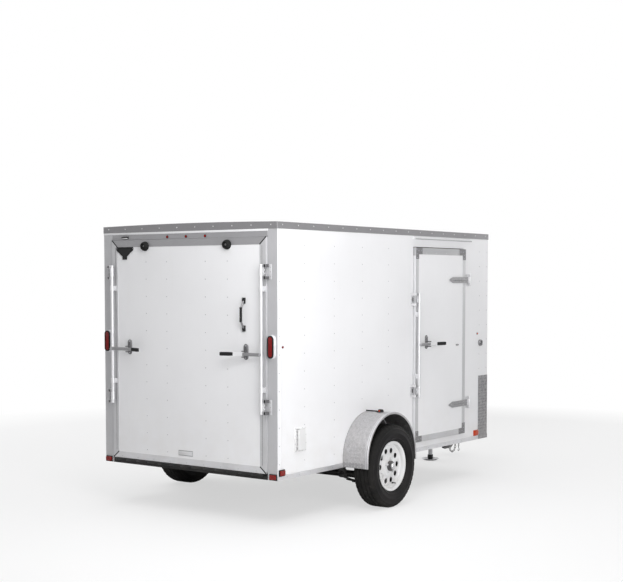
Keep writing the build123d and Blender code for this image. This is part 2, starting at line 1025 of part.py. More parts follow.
def red_markers():
    """Lamps on the rear corners, three in a row on the header, and a dot on each side wall."""
    rear_lamp = block(
        (rear_x - corner_lamp_proud, rear_x),
        around(half_width - rear_lamp_inset, rear_lamp_size[0]),
        around(rear_lamp_z, rear_lamp_size[1]),
    )
    rear_lamp = chamfer(rear_lamp.faces().sort_by(Axis.X)[0].edges(), lens_edge)
    side_lamp = corner_lamp(around(aft(side_red_x), side_red_size[0]), side_red_size, side_red_z)
    pieces = both_sides(rear_lamp) + both_sides(side_lamp) + both_sides(dot_lamp(aft(dot_red_x)))
    for step in (-1, 0, 1):
        y = step * header_dot_pitch
        z = header_bottom + header_lamp_rise
        pieces.append(rod_x(header_dot_radius, (rear_x - dot_proud, rear_x), y, z))
    return pieces


def amber_markers():
    middle = front_x - amber_behind_front
    lamp = corner_lamp(around(middle, amber_size[0]), amber_size, amber_z)
    seat = block(around(middle, amber_size[0]), (half_width, half_width + foot_trim_proud),
                 (body_bottom + foot_trim_height, amber_z + amber_size[1] / 2))
    return both_sides(lamp + seat) + both_sides(dot_lamp(front_x - dot_amber_behind_front))


def plate_lamp():
    deep, wide, tall = plate_lamp_size
    middle = ramp_half - plate_lamp_inset
    return block((rear_x - deep, rear_x), around(middle, wide), around(header_bottom + header_lamp_rise, tall))


def side_vents():
    """Flow-through vents: a flange, and a hood that slopes to the front and is slotted at the rear."""
    rear, front = aft(vent_x[0]), aft(vent_x[1])
    flange = block((rear, front), (half_width, half_width + vent_flange), vent_z)
    hood_rear = rear + vent_margin
    low, high = vent_z[0] + vent_margin, vent_z[1] - vent_margin
    with BuildSketch() as outline:
        with BuildLine():
            Polyline(
                (hood_rear, half_width),
                (hood_rear, half_width + vent_proud),
                (hood_rear + vent_shelf, half_width + vent_proud),
                (front - vent_margin, half_width + vent_flange),
                (front - vent_margin, half_width),
                close=True,
            )
        make_face()
    hood = Pos(0, 0, low) * extrude(outline.sketch, high - low)
    top = hood.faces().sort_by(Axis.Y)[-1]
    hood = chamfer(top.edges().filter_by(Axis.Y, reverse=True), vent_edge)
    tall, wide = vent_slot
    first = (low + high) / 2 - (vent_slots - 1) / 2 * (tall + vent_rib)
    middle = half_width + (vent_flange + vent_proud - vent_edge) / 2
    for step in range(vent_slots):
        z = first + step * (tall + vent_rib)
        hood -= block((hood_rear - 1, hood_rear + vent_shelf), around(middle, wide), around(z, tall))
    return both_sides(flange + hood)


# Axle and springs


def axle_z():
    return tyre_radius - axle_drop


def spring_y():
    return rail_outer - rail_width / 2


def axle_beam():
    """Dropped axle: the beam, an arm up to each spindle, and the spindles."""
    arm_y = spring_y() + spring_width / 2 + arm_gap
    beam = rod_y(axle_radius, (-arm_y - axle_arm, arm_y + axle_arm), wheel_centre_x, axle_z())
    slot = SlotCenterToCenter(axle_drop, 2 * axle_radius, rotation=90)
    for side in (1, -1):
        place = Plane(
            origin=(wheel_centre_x, side * (arm_y + axle_arm / 2), tyre_radius - axle_drop / 2),
            x_dir=(1, 0, 0),
            z_dir=(0, -1, 0),
        )
        beam += extrude(place * slot, axle_arm / 2, both=True)
        span = sorted((side * (arm_y + axle_arm), side * (rim_face_y - disc_depth)))
        beam += rod_y(spindle_radius, span, wheel_centre_x, tyre_radius)
    return beam


def spring_radius():
    sag = spring_eye_z - (axle_z() - axle_radius)
    half = spring_span / 2
    return (half * half + sag * sag) / (2 * sag)


def leaf_springs():
    """Three stacked leaves on each side, with an eye at each end of the top one."""
    radius = spring_radius()
    top = axle_z() - axle_radius
    y_low = spring_y() - spring_width / 2
    centre_z = top + radius
    spring = None
    for leaf in range(spring_leaves):
        inner = radius + leaf * spring_leaf
        outer = inner + spring_leaf
        half_span = spring_span / 2 * (1 - spring_leaf_step * leaf)
        if leaf == 0:
            half_span -= spring_eye_lap
        angle = degrees(half_span / radius)
        with BuildSketch(Plane.XZ) as section:
            with BuildLine():
                swing = radians(angle)
                start_in = (-inner * sin(swing), -inner * cos(swing))
                end_in = (inner * sin(swing), -inner * cos(swing))
                start_out = (-outer * sin(swing), -outer * cos(swing))
                end_out = (outer * sin(swing), -outer * cos(swing))
                ThreePointArc(start_in, (0, -inner), end_in)
                Line(end_in, end_out)
                ThreePointArc(end_out, (0, -outer), start_out)
                Line(start_out, start_in)
            make_face()
        body = extrude(section.sketch, spring_width)
        spring = body if spring is None else spring + body
    spring = Pos(wheel_centre_x, y_low + spring_width, centre_z) * spring
    for end in (-1, 1):
        x = wheel_centre_x + end * spring_span / 2
        spring += rod_y(spring_eye_radius, (y_low, y_low + spring_width), x, spring_eye_z)
        spring -= bolt_hole(x, spring_eye_z)
    return both_sides(spring)


def spring_grip():
    """Half of the width over the plates on both sides of a spring's eye."""
    return spring_width / 2 + hanger_gap + hanger_steel


def bolt_hole(x, z):
    return rod_y(eye_bolt_radius + bolt_fit, around(spring_y(), 3 * spring_width), x, z)


def eye_bolt(x, z):
    """Bolt across a spring's end, with its head and its nut outside the plates."""
    y = spring_y()
    bolt = rod_y(eye_bolt_radius, around(y, 2 * spring_grip()), x, z)
    for low in (y - spring_grip() - bolt_head_height, y + spring_grip()):
        bolt += hexagon_y(bolt_head_radius, (low, low + bolt_head_height), x, z)
    return bolt


def front_hanger(x):
    """Channel that hangs from the rail, with the bolt through the spring's fixed eye."""
    wide = around(spring_y(), 2 * spring_grip())
    low = spring_eye_z - spring_eye_radius - hanger_past_eye
    channel = block(around(x, hanger_length), wide, (low, body_bottom))
    inside = around(spring_y(), 2 * (spring_grip() - hanger_steel))
    channel -= block(around(x, 2 * hanger_length), inside, (0, body_bottom - hanger_steel))
    return channel + eye_bolt(x, spring_eye_z)


def rear_hanger(x):
    """Boss under the rail that carries the shackles."""
    pin_z = spring_eye_z + shackle_drop
    wide = around(spring_y(), spring_width)
    hanger = block(around(x, hanger_length), wide, (body_bottom - hanger_steel, body_bottom))
    hanger += block(around(x, shackle_width), wide, (pin_z, body_bottom))
    hanger += rod_y(shackle_width / 2, wide, x, pin_z)
    return hanger - bolt_hole(x, pin_z)


def shackles(x):
    """Two links and two bolts, from the rear hanger down to the spring's eye."""
    outline = SlotCenterToCenter(shackle_drop, shackle_width, rotation=90)
    pair = eye_bolt(x, spring_eye_z) + eye_bolt(x, spring_eye_z + shackle_drop)
    for y in (spring_y() - spring_grip() + hanger_steel, spring_y() + spring_grip()):
        middle = Pos(x, y, spring_eye_z + shackle_drop / 2)
        pair += middle * Rot(90, 0, 0) * extrude(outline, hanger_steel)
    return pair


def u_bolt(y, low):
    """Bar over the axle, flattened round its bend, with its legs and nuts down to low."""
    bend = axle_radius + u_bolt_radius
    bar = around(0, 2 * u_bolt_radius)
    bolt = rod_y(bend + u_bolt_radius, bar, 0, 0) - rod_y(bend - u_bolt_radius, bar, 0, 0)
    bolt -= block(around(0, 4 * bend), around(0, 4 * bend), (-2 * bend, 0))
    for x in (-bend, bend):
        bolt += rod_z(u_bolt_radius, (low - u_bolt_end - axle_z(), 0), x, 0)
        bolt += hexagon_z(nut_radius, (low - nut_height - axle_z(), low - axle_z()), x, 0)
    return Pos(wheel_centre_x, y, axle_z()) * bolt


def axle_clamp():
    """Plate below the spring and the two U-bolts that pull it up."""
    top = axle_z() - axle_radius - spring_leaves * spring_leaf
    wide = spring_width + 2 * clamp_past
    low = top - clamp_steel
    clamp = block(around(wheel_centre_x, clamp_length), around(spring_y(), wide), (low, top))
    out = spring_width / 2 + u_bolt_gap + u_bolt_radius
    return clamp + u_bolt(spring_y() - out, low) + u_bolt(spring_y() + out, low)


def spring_hangers():
    """Hangers, shackles and axle clamps of both springs."""
    rear = wheel_centre_x - spring_span / 2
    front = wheel_centre_x + spring_span / 2
    pieces = [front_hanger(front), rear_hanger(rear), shackles(rear), axle_clamp()]
    return [side for piece in pieces for side in both_sides(piece)]


# Wheels, drawn about the axle's line at the origin with the outer side at -Y


def wheel_place():
    return Pos(wheel_centre_x, 0, tyre_radius)


def tyre():
    """Section revolved about the axle's line: beads inside the flanges, bulging sides, shoulders and tread."""
    tread = tread_width / 2
    bulge = tyre_section / 2 - tread
    bead = rim_width / 2 - rim_flange - tyre_fit
    over_flange = rim_radius + rim_flange_gap
    shoulder = tyre_radius - tyre_shoulder
    belly = (shoulder + over_flange) / 2
    rise = (shoulder - over_flange) / 2
    swings = [radians(-90.0 + step * 180.0 / side_strips) for step in range(side_strips + 1)]
    side = [(belly + rise * sin(swing), tread + bulge * cos(swing)) for swing in swings]
    half = [(rim_bead_radius, bead), (over_flange, bead)] + side + [(tyre_radius, tread - tyre_shoulder)]
    outline = half + [(radius, -out) for radius, out in reversed(half)]
    with BuildSketch(Plane.XY) as section:
        with BuildLine():
            Polyline(*[(radius, out - wheel_y) for radius, out in outline], close=True)
        make_face()
    return revolve(section.sketch, Axis.Y)


def right_tyre():
    return wheel_place() * tyre()


def rim():
    """Drop-centre barrel with flanges, and a disc with a ring of round holes."""
    outer = -rim_face_y
    inner = outer + rim_width
    seat = rim_bead_radius - tyre_fit
    well = seat - well_depth
    bore = well - rim_wall
    disc_y = outer + disc_depth
    with BuildSketch(Plane.XY) as section:
        with BuildLine():
            Polyline(
                (rim_radius, outer),
                (rim_radius, outer + rim_flange),
                (seat, outer + rim_flange),
                (seat, outer + well_start),
                (well, outer + well_start),
                (well, inner - well_start),
                (seat, inner - well_start),
                (seat, inner - rim_flange),
                (rim_radius, inner - rim_flange),
                (rim_radius, inner),
                (seat - rim_wall, inner),
                (seat - rim_wall, inner - well_start + rim_wall),
                (bore, inner - well_start + rim_wall),
                (bore, outer + well_start - rim_wall),
                (seat - rim_wall, outer + well_start - rim_wall),
                (seat - rim_wall, outer),
                close=True,
            )
        make_face()
    barrel = revolve(section.sketch, Axis.Y)
    boss = centre_hole_radius + disc_boss
    with BuildSketch(Plane.XY) as disc_section:
        with BuildLine():
            Polyline(
                (centre_hole_radius, disc_y - disc_dish),
                (boss, disc_y - disc_dish),
                (boss + disc_dish, disc_y),
                (bore + rim_wall / 2, disc_y),
                (bore + rim_wall / 2, disc_y + disc_steel),
                (boss + disc_dish, disc_y + disc_steel),
                (boss, disc_y - disc_dish + disc_steel),
                (centre_hole_radius, disc_y - disc_dish + disc_steel),
                close=True,
            )
        make_face()
    disc = revolve(disc_section.sketch, Axis.Y)
    for step in range(rim_hole_count):
        angle = radians(step * 360.0 / rim_hole_count)
        x = rim_hole_circle * cos(angle)
        z = rim_hole_circle * sin(angle)
        disc -= rod_y(rim_hole_radius, (disc_y - disc_steel, disc_y + 2 * disc_steel), x, z)
    return barrel + disc


def right_rim():
    return wheel_place() * rim()


def hub():
    """Hub and dust cap on the spindle, and the nuts that hold the rim's disc."""
    face = -rim_face_y + disc_depth - disc_dish + disc_steel
    body = rod_y(hub_radius, (face, face + hub_length), 0, 0)
    cap = rod_y(hub_cap_radius, (-rim_face_y - hub_cap_out, face), 0, 0)
    cap = chamfer(cap.faces().sort_by(Axis.Y)[0].edges(), hub_cap_edge)
    bore = rod_y(spindle_radius + spindle_fit, (-rim_face_y + disc_depth - 1, face + hub_length + 1), 0, 0)
    seat = -rim_face_y + disc_depth - disc_dish
    pieces = [body + cap - bore]
    for step in range(lug_count):
        angle = radians(90.0 + step * 360.0 / lug_count)
        place = (lug_circle * cos(angle), lug_circle * sin(angle))
        pieces.append(hexagon_y(lug_radius, (seat - lug_height, seat), *place))
    return pieces


def right_hub():
    return [wheel_place() * piece for piece in hub()]


# Fenders


def fender_right():
    """Half-round skin from the wall to a rolled bead and a flange that turns in."""
    outer = -rim_face_y
    centre_z = tyre_radius + fender_rise
    wall = -half_width - foot_trim_proud - trim_gap

    def arch(radius):
        with BuildSketch(Plane.XZ) as shape:
            with BuildLine():
                Polyline((-radius, centre_z), (-radius, fender_foot), (radius, fender_foot), (radius, centre_z))
                ThreePointArc((-radius, centre_z), (0, centre_z + radius), (radius, centre_z))
            make_face()
        return shape.sketch

    deep = extrude(arch(fender_radius), wall - outer)
    hollow = extrude(arch(fender_radius - fender_steel), wall - outer)
    lip = extrude(arch(fender_radius), fender_steel) - extrude(arch(fender_radius - fender_lip), fender_steel)
    bead = extrude(arch(fender_radius + fender_bead), fender_bead_width)
    bead -= extrude(arch(fender_radius), fender_bead_width)
    shell = Pos(0, wall, 0) * (deep - hollow)
    edge = Pos(0, outer + fender_steel, 0) * lip + Pos(0, outer + fender_bead_width, 0) * bead
    return Pos(wheel_centre_x, 0, 0) * (shell + edge)


def fender_lamps():
    """Lamps on the fenders, cut to the fender's curve, each with a lead to the wall."""
    long, wide, tall = fender_lamp_size
    centre_z = tyre_radius + fender_rise
    top = centre_z + fender_radius
    lamp = block(
        around(wheel_centre_x - fender_lamp_back, long),
        around(half_width + fender_lamp_out, wide),
        (top - fender_lamp_seat, top + tall),
    )
    lamp = chamfer(lamp.faces().sort_by(Axis.Z)[-1].edges(), fender_lamp_edge)
    lamp -= rod_y(fender_radius, (half_width, rim_face_y), wheel_centre_x, centre_z)
    lead = rod_y(
        lead_radius,
        (half_width, half_width + fender_lamp_out),
        wheel_centre_x - fender_lamp_back,
        top + lead_radius,
    )
    return both_sides(lamp + lead)


# Tongue, coupler, jack and chains


def tongue_rail():
    """One rail, from under the side rail to just behind the coupler's ball."""
    reach = ball_x - tongue_nose_gap
    long = (ball_x - tongue_rear) / cos(radians(tongue_angle)) + tongue_height
    bar = Pos(-long / 2, 0, 0) * Box(long, tongue_width, tongue_height)
    bar = Pos(ball_x, 0, body_bottom - tongue_height / 2) * Rot(0, 0, -tongue_angle) * bar
    keep = block((tongue_rear, reach), (0, rail_outer), (0, body_top))
    return bar & keep


def tongue_rails():
    return both_sides(tongue_rail())


def half_gap_at(x):
    """Half of the clear width between the tongue rails at X."""
    return (ball_x - x) * tan(radians(tongue_angle)) - tongue_width / 2 / cos(radians(tongue_angle))


def jack_bracket():
    """Cross piece between the tongue rails, bored for the jack."""
    x_mid = jack_x
    half_w = jack_bracket_width / 2
    z_span = (body_bottom - jack_bracket_height, body_bottom)
    front = half_gap_at(x_mid + half_w)
    rear = half_gap_at(x_mid - half_w)
    with BuildSketch() as outline:
        with BuildLine():
            Polyline(
                (x_mid + half_w, front),
                (x_mid + half_w, -front),
                (x_mid - half_w, -rear),
                (x_mid - half_w, rear),
                close=True,
            )
        make_face()
    bracket = Pos(0, 0, z_span[0]) * extrude(outline.sketch, jack_bracket_height)
    return bracket - rod_z(jack_tube_radius, (0, body_top), x_mid, 0)


def chain_plate():
    """Plate under the ends of the tongue rails that the chains hang from."""
    low = body_bottom - tongue_height - chain_plate_steel
    span = (ball_x - chain_plate_rear, ball_x - chain_plate_front)
    return block(span, around(0, chain_plate_width), (low, low + chain_plate_steel))


def jack_body():
    """Outer tube with its bolted flange and its cap, and a crank on a side shaft."""
    x = jack_x
    low, high = jack_tube_z
    flange_top = body_bottom + jack_flange_steel
    bore_top = jack_leg_top + jack_lift + jack_spare
    tube = rod_z(jack_tube_radius, jack_tube_z, x, 0)
    tube -= rod_z(jack_leg_radius + jack_leg_gap, (low - 1, bore_top), x, 0)
    flange = rod_z(jack_bracket_width / 2, (body_bottom, flange_top), x, 0)
    flange -= rod_z(jack_tube_radius - jack_flange_lap, (0, body_top), x, 0)
    for step in range(3):
        angle = radians(step * 120.0)
        place = (x + jack_bolt_circle * cos(angle), jack_bolt_circle * sin(angle))
        flange += hexagon_z(jack_bolt_radius, (flange_top, flange_top + jack_bolt_height), *place)
    cap = rod_z(jack_tube_radius + jack_cap_lap, (high - jack_cap_skirt, high + jack_cap_rise), x, 0)
    cap = chamfer(cap.faces().sort_by(Axis.Z)[-1].edges(), jack_cap_edge)
    crank_z = high - crank_drop
    shaft = rod_y(crank_shaft_radius, (0, crank_out), x, crank_z)
    arm_outline = SlotCenterToCenter(crank_reach, crank_width)
    arm = Pos(x - crank_reach / 2, crank_out, crank_z) * Rot(90, 0, 0) * extrude(arm_outline, crank_steel)
    knob = rod_y(knob_radius, (crank_out, crank_out + knob_length), x - crank_reach, crank_z)
    return tube + flange + cap + shaft + arm + knob


def jack_leg():
    """Inner leg in the socket of a dished foot, standing on the ground."""
    with BuildSketch(Plane.XZ) as section:
        with BuildLine():
            Polyline(
                (0, 0),
                (jack_foot_flat, 0),
                (jack_foot_radius, jack_foot_height - jack_foot_steel),
                (jack_foot_radius, jack_foot_height),
                (jack_foot_flat - jack_foot_steel, jack_foot_steel),
                (jack_socket_radius, jack_foot_steel),
                (jack_socket_radius, jack_socket_height),
                (0, jack_socket_height),
                close=True,
            )
        make_face()
    foot = revolve(section.sketch, Axis.Z)
    return Pos(jack_x, 0, 0) * (foot + rod_z(jack_leg_radius, (jack_foot_steel, jack_leg_top), 0, 0))


def coupler():
    """Pressed channel over the ends of both tongue rails, a rising neck and the ball's housing."""
    rear = ball_x - coupler_length
    front = ball_x - coupler_front_gap
    skew = tan(radians(tongue_angle))
    outer = tongue_width / 2 / cos(radians(tongue_angle)) + coupler_steel

    def wedge(extra, low, high, start):
        with BuildSketch() as shape:
            with BuildLine():
                Polyline(
                    (start, (ball_x - start) * skew + extra),
                    (start, -(ball_x - start) * skew - extra),
                    (front, -(ball_x - front) * skew - extra),
                    (front, (ball_x - front) * skew + extra),
                    close=True,
                )
            make_face()
        return Pos(0, 0, low) * extrude(shape.sketch, high - low)

    low = body_bottom - coupler_side
    shell = wedge(outer, low, body_bottom + coupler_steel, rear)
    shell -= wedge(outer - coupler_steel, low - 1, body_bottom, rear - 1)
    foot = body_bottom - socket_foot
    housing = rod_z(socket_radius, (foot, socket_top), ball_x, 0)
    housing = chamfer(housing.faces().sort_by(Axis.Z)[-1].edges(), socket_edge)
    housing += rod_z(socket_radius + coupler_nose, (foot, foot + coupler_lip), ball_x, 0)
    bore = rod_z(ball_bore_radius, (0, foot + ball_bore_depth), ball_x, 0)
    return shell + coupler_neck() + latch_ears() + housing - bore


def coupler_neck():
    """Neck that rises and narrows from the channel to the ball's housing."""
    rear = ball_x - neck_length
    (rear_wide, rear_tall), (front_wide, front_tall) = neck_rear, neck_front
    with BuildSketch(Plane.XZ) as side:
        with BuildLine():
            Polyline((rear, 0), (rear, rear_tall), (ball_x, front_tall), (ball_x, 0), close=True)
        make_face()
    with BuildSketch() as plan:
        with BuildLine():
            Polyline(
                (rear, -rear_wide / 2),
                (rear, rear_wide / 2),
                (ball_x, front_wide / 2),
                (ball_x, -front_wide / 2),
                close=True,
            )
        make_face()
    risen = extrude(side.sketch, rear_wide, both=True)
    return Pos(0, 0, body_bottom) * (risen & extrude(plan.sketch, front_tall))


def latch_pin():
    """X and Z of the latch's pin."""
    return ball_x - latch_behind, body_bottom + latch_pin_rise


def latch_ears():
    """Two upright ears on the neck, bored for the latch's pin."""
    x, z = latch_pin()
    long, steel = latch_ear
    inner = latch_width / 2 + latch_gap
    ear = block(around(x, long), (inner, inner + steel), (body_bottom + coupler_steel, z + latch_ear_above))
    return ear + swap_side(ear) - rod_y(latch_pin_radius + bolt_fit, around(0, 2 * socket_radius), x, z)


def coupler_latch():
    """Lever on a pin between the ears, with a tab to lift it by."""
    x, z = latch_pin()
    long, wide, tall = latch_tab
    rear = x - latch_reach[0]
    lever = block((rear, x + latch_reach[1]), around(0, latch_width), around(z, latch_height))
    tab = block((rear, rear + long), around(0, wide), (z, z + tall))
    pin = rod_y(latch_pin_radius, around(0, latch_width + 2 * latch_gap + 2 * latch_ear[1]), x, z)
    return lever + tab + pin


def chain_link():
    """Eight-sided link with a square-cut wire, lying along X, flat in the XY plane."""
    half_length = (chain_pitch + chain_play + chain_wire) / 2
    half_wide = (chain_inner_width + chain_wire) / 2

    def ring(grow):
        long = half_length + grow
        wide = half_wide + grow
        cut = wide * link_corner
        with BuildSketch() as shape:
            with BuildLine():
                Polyline(
                    (long, wide - cut), (long - cut, wide), (cut - long, wide), (-long, wide - cut),
                    (-long, cut - wide), (cut - long, -wide), (long - cut, -wide), (long, cut - wide),
                    close=True,
                )
            make_face()
        return shape.sketch

    half = chain_wire / 2
    side = half * wire_flat
    return extrude(ring(half) - ring(-half), side, both=True)


def chain_hook():
    """Link with an open hook below it, drawn like a link."""
    middle = (chain_pitch + chain_wire) / 2 + hook_shank + hook_radius
    with BuildSketch() as shape:
        with Locations((middle, 0)):
            Circle(hook_radius)
            Circle(hook_radius - hook_wire, mode=Mode.SUBTRACT)
        with Locations((middle - hook_radius / 2, -hook_radius / 2)):
            Rectangle(hook_radius, hook_radius, mode=Mode.SUBTRACT)
        with Locations((middle - hook_radius - hook_shank / 2, 0)):
            Rectangle(hook_shank + hook_wire, hook_wire)
    return chain_link() + extrude(shape.sketch, hook_wire / 2, both=True)


def chain_points(start, drop, width):
    """Middles and directions of links that hang down, round a half circle and up again."""
    x, z = start
    radius = width / 2
    straight = drop - radius
    points = []
    if width == 0:
        count = int(drop / chain_pitch)
        for step in range(count + 1):
            points.append((x, z - (step + 0.5) * chain_pitch, -90.0))
        return points
    count = int(straight / chain_pitch)
    for step in range(count):
        points.append((x, z - (step + 0.5) * chain_pitch, -90.0))
    foot = z - count * chain_pitch
    turn = 2 * degrees(chain_pitch / 2 / radius)
    bends = int(round(180.0 / turn))
    reach = chain_pitch / 2 / sin(radians(180.0 / bends / 2))
    for step in range(bends):
        angle = 180.0 + (step + 0.5) * 180.0 / bends
        points.append((x + reach + reach * cos(radians(angle)) * cos(radians(90.0 / bends)),
                       foot + reach * sin(radians(angle)) * cos(radians(90.0 / bends)), angle + 90.0))
    for step in range(count):
        points.append((x + 2 * reach, foot + (step + 0.5) * chain_pitch, 90.0))
    return points


def safety_chains():
    """Two chains below the tongue: one hangs in a loop, one straight with a hook at its end."""
    pieces = []
    top = body_bottom - tongue_height - chain_plate_steel - chain_wire - chain_play
    for behind, y, drop, width in chain_rows:
        points = chain_points((ball_x - behind, top), drop, width)
        for number, (px, pz, angle) in enumerate(points):
            link = chain_hook() if width == 0 and number == len(points) - 1 else chain_link()
            if number % 2:
                link = Rot(90, 0, 0) * link
            pieces.append(Pos(px, y, pz) * Rot(0, -angle, 0) * link)
    return pieces


nodes = {
    "side_rails": side_rails(),
    "crossmembers": crossmembers(),
    "floor_deck": floor_deck(),
    "wall_right": wall_right(),
    "wall_left": wall_left(),
    "wall_front": wall_front(),
    "roof_panel": roof_panel(),
    "roof_trim": roof_trim(),
    "foot_trim": foot_trim(),
    "stone_guard": stone_guard(),
    "rear_posts": rear_posts(),
    "rear_header": rear_header(),
    "rear_sill": rear_sill(),
    "lock_keepers": lock_keepers(),
    "ramp_panel": ramp_panel(),
    "ramp_frame": ramp_frame(),
    "ramp_hinge": ramp_hinge(),
    "ramp_locks": ramp_locks(),
    "ramp_grips": ramp_grips(),
    "ramp_bumpers": ramp_bumpers(),
    "ramp_pull": ramp_pull(),
    "plate_bracket": plate_bracket(),
    "side_door_panel": side_door_panel(),
    "side_door_frame": side_door_frame(),
    "side_door_corners": side_door_corners(),
    "side_door_lock": side_door_lock(),
    "side_door_grip": side_door_grip(),
    "side_hinge_straps": side_hinge_straps(),
    "side_hinge_butts": side_hinge_butts(),
    "drip_cap": drip_cap(),
    "door_holdback": door_holdback(),
    "tail_lamp_bezels": tail_lamp_bezels(),
    "tail_lamps": tail_lamps(),
    "red_markers": red_markers(),
    "amber_markers": amber_markers(),
    "plate_lamp": plate_lamp(),
    "side_vents": side_vents(),
    "axle_beam": axle_beam(),
    "leaf_springs": leaf_springs(),
    "spring_hangers": spring_hangers(),
    "tyre_right": right_tyre(),
    "rim_right": right_rim(),
    "hub_right": right_hub(),
    "tyre_left": swap_side(right_tyre()),
    "rim_left": swap_side(right_rim()),
    "hub_left": [swap_side(piece) for piece in right_hub()],
    "fender_right": fender_right(),
    "fender_left": swap_side(fender_right()),
    "fender_lamps": fender_lamps(),
    "tongue_rails": tongue_rails(),
    "tongue_plates": [jack_bracket(), chain_plate()],
    "jack_body": jack_body(),
    "jack_leg": jack_leg(),
    "coupler": [coupler(), coupler_latch()],
    "safety_chains": safety_chains(),
}

os.makedirs("parts", exist_ok=True)
for name, shape in nodes.items():
    pieces = shape if isinstance(shape, list) else [shape]
    solids = [solid for piece in pieces for solid in piece.solids()]
    export_step(Compound(children=solids) if len(solids) > 1 else solids[0], f"parts/{name}.step")
print(len(nodes), "nodes, rear face at X", round(rear_x, 2))
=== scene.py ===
import math
import random
import bmesh
import bpy
from mathutils import Matrix, Vector


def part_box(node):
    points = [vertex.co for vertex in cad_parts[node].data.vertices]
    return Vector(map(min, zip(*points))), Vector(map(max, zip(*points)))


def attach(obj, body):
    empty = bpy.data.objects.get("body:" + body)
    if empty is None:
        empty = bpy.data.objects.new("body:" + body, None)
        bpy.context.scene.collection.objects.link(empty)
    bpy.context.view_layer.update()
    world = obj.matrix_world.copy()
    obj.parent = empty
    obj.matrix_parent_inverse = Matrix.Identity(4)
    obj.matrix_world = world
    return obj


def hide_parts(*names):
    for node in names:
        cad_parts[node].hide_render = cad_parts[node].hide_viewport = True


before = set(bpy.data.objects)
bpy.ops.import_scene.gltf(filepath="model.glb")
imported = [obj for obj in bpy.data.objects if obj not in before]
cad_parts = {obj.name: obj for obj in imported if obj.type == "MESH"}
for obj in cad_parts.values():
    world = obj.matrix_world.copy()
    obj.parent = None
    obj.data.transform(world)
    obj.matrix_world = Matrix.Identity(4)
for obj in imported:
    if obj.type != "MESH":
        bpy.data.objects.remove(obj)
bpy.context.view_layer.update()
print("frame loaded:", len(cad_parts), "nodes")

axisX, axisY, axisZ = Vector((1, 0, 0)), Vector((0, 1, 0)), Vector((0, 0, 1))
moved = Matrix.Translation

# Places that several pieces share, read from the frame
postLow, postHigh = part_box("rear_posts")
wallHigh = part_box("wall_right")[1]
frontLow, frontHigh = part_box("wall_front")
leafLow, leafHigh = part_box("ramp_frame")
panelLow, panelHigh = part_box("ramp_panel")
doorLow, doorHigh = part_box("side_door_frame")
doorPanelLow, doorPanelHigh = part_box("side_door_panel")
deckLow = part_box("floor_deck")[0]
rearX = postLow.x
frontX = frontHigh.x
halfWidth = postHigh.y
innerHalf = abs(wallHigh.y)
roofLow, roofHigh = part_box("roof_trim")


# Materials: helpers that add nodes to the tree at hand, and one function per finish

tree = None


def startMaterial(name):
    global tree
    material = bpy.data.materials.new(name)
    material.use_nodes = True
    tree = material.node_tree
    tree.nodes.clear()
    shader = add("ShaderNodeBsdfPrincipled")
    add("ShaderNodeOutputMaterial", {0: shader.outputs[0]})
    return material, shader, add("ShaderNodeTexCoord").outputs["Object"]


def feed(node, key, value):
    # a socket is linked to the node's input, and anything else becomes its value
    if isinstance(value, bpy.types.NodeSocket):
        tree.links.new(value, node.inputs[key])
    else:
        node.inputs[key].default_value = value


def add(kind, inputs=None, **settings):
    node = tree.nodes.new(kind)
    for key, value in settings.items():
        setattr(node, key, value)
    for key, value in (inputs or {}).items():
        feed(node, key, value)
    return node


def noise(vector, scale, detail=4.0, roughness=0.55):
    values = {"Vector": vector, "Scale": scale, "Detail": detail, "Roughness": roughness}
    return add("ShaderNodeTexNoise", values).outputs["Fac"]


def stretched(vector, scale):
    return add("ShaderNodeMapping", {"Scale": scale, "Vector": vector}).outputs["Vector"]


def ramp(factor, low, high, start=0.0, end=1.0):
    values = {"Value": factor, "From Min": low, "From Max": high, "To Min": start, "To Max": end}
    return add("ShaderNodeMapRange", values).outputs["Result"]


def mixColours(factor, first, second, blend="MIX"):
    # each colour is a socket or three numbers
    first, second = ((*c, 1.0) if isinstance(c, tuple) else c for c in (first, second))
    inputs = {0: factor, 6: first, 7: second}
    return add("ShaderNodeMix", inputs, data_type="RGBA", blend_type=blend).outputs[2]


def calc(operation, first, second=0.0):
    return add("ShaderNodeMath", {0: first, 1: second}, operation=operation).outputs[0]


def axisOf(vector, axis):
    return add("ShaderNodeSeparateXYZ", {"Vector": vector}).outputs["XYZ".index(axis)]


def bump(height, strength, distance, normal=None):
    inputs = {"Height": height, "Strength": strength, "Distance": distance}
    if normal:
        inputs["Normal"] = normal
    return add("ShaderNodeBump", inputs).outputs["Normal"]


def edgeMask(width):
    # 1 along convex and concave edges, 0 on the flats
    rounded = add("ShaderNodeBevel", {"Radius": width}, samples=4).outputs[0]
    flat = add("ShaderNodeNewGeometry").outputs["Normal"]
    dot = add("ShaderNodeVectorMath", {0: rounded, 1: flat}, operation="DOT_PRODUCT")
    return ramp(dot.outputs["Value"], 0.995, 0.85)


def roadDust(vector, colour, dust, amount, reach):
    # light dust that thins out with height
    height = ramp(axisOf(vector, "Z"), 0.25, reach, amount, 0.0)
    patch = ramp(noise(vector, 9.0, 6.0), 0.35, 0.7)
    return mixColours(calc("MULTIPLY", height, patch), colour, dust)


panelLook = {
    "skin": (0.86, 0.86, 0.875),
    "skinShade": (0.825, 0.825, 0.84),
    "dust": (0.62, 0.58, 0.52),
    "roughness": 0.3,
    "waveDepth": 0.0016,
    "ply": (0.56, 0.40, 0.235),
    "plyDark": (0.36, 0.225, 0.115),
}


fenderLow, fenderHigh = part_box("fender_right")
archReach = (fenderHigh.x - fenderLow.x) / 2 - 0.008
archMiddle = Vector(((fenderLow.x + fenderHigh.x) / 2, 0, fenderHigh.z - 0.008 - archReach))


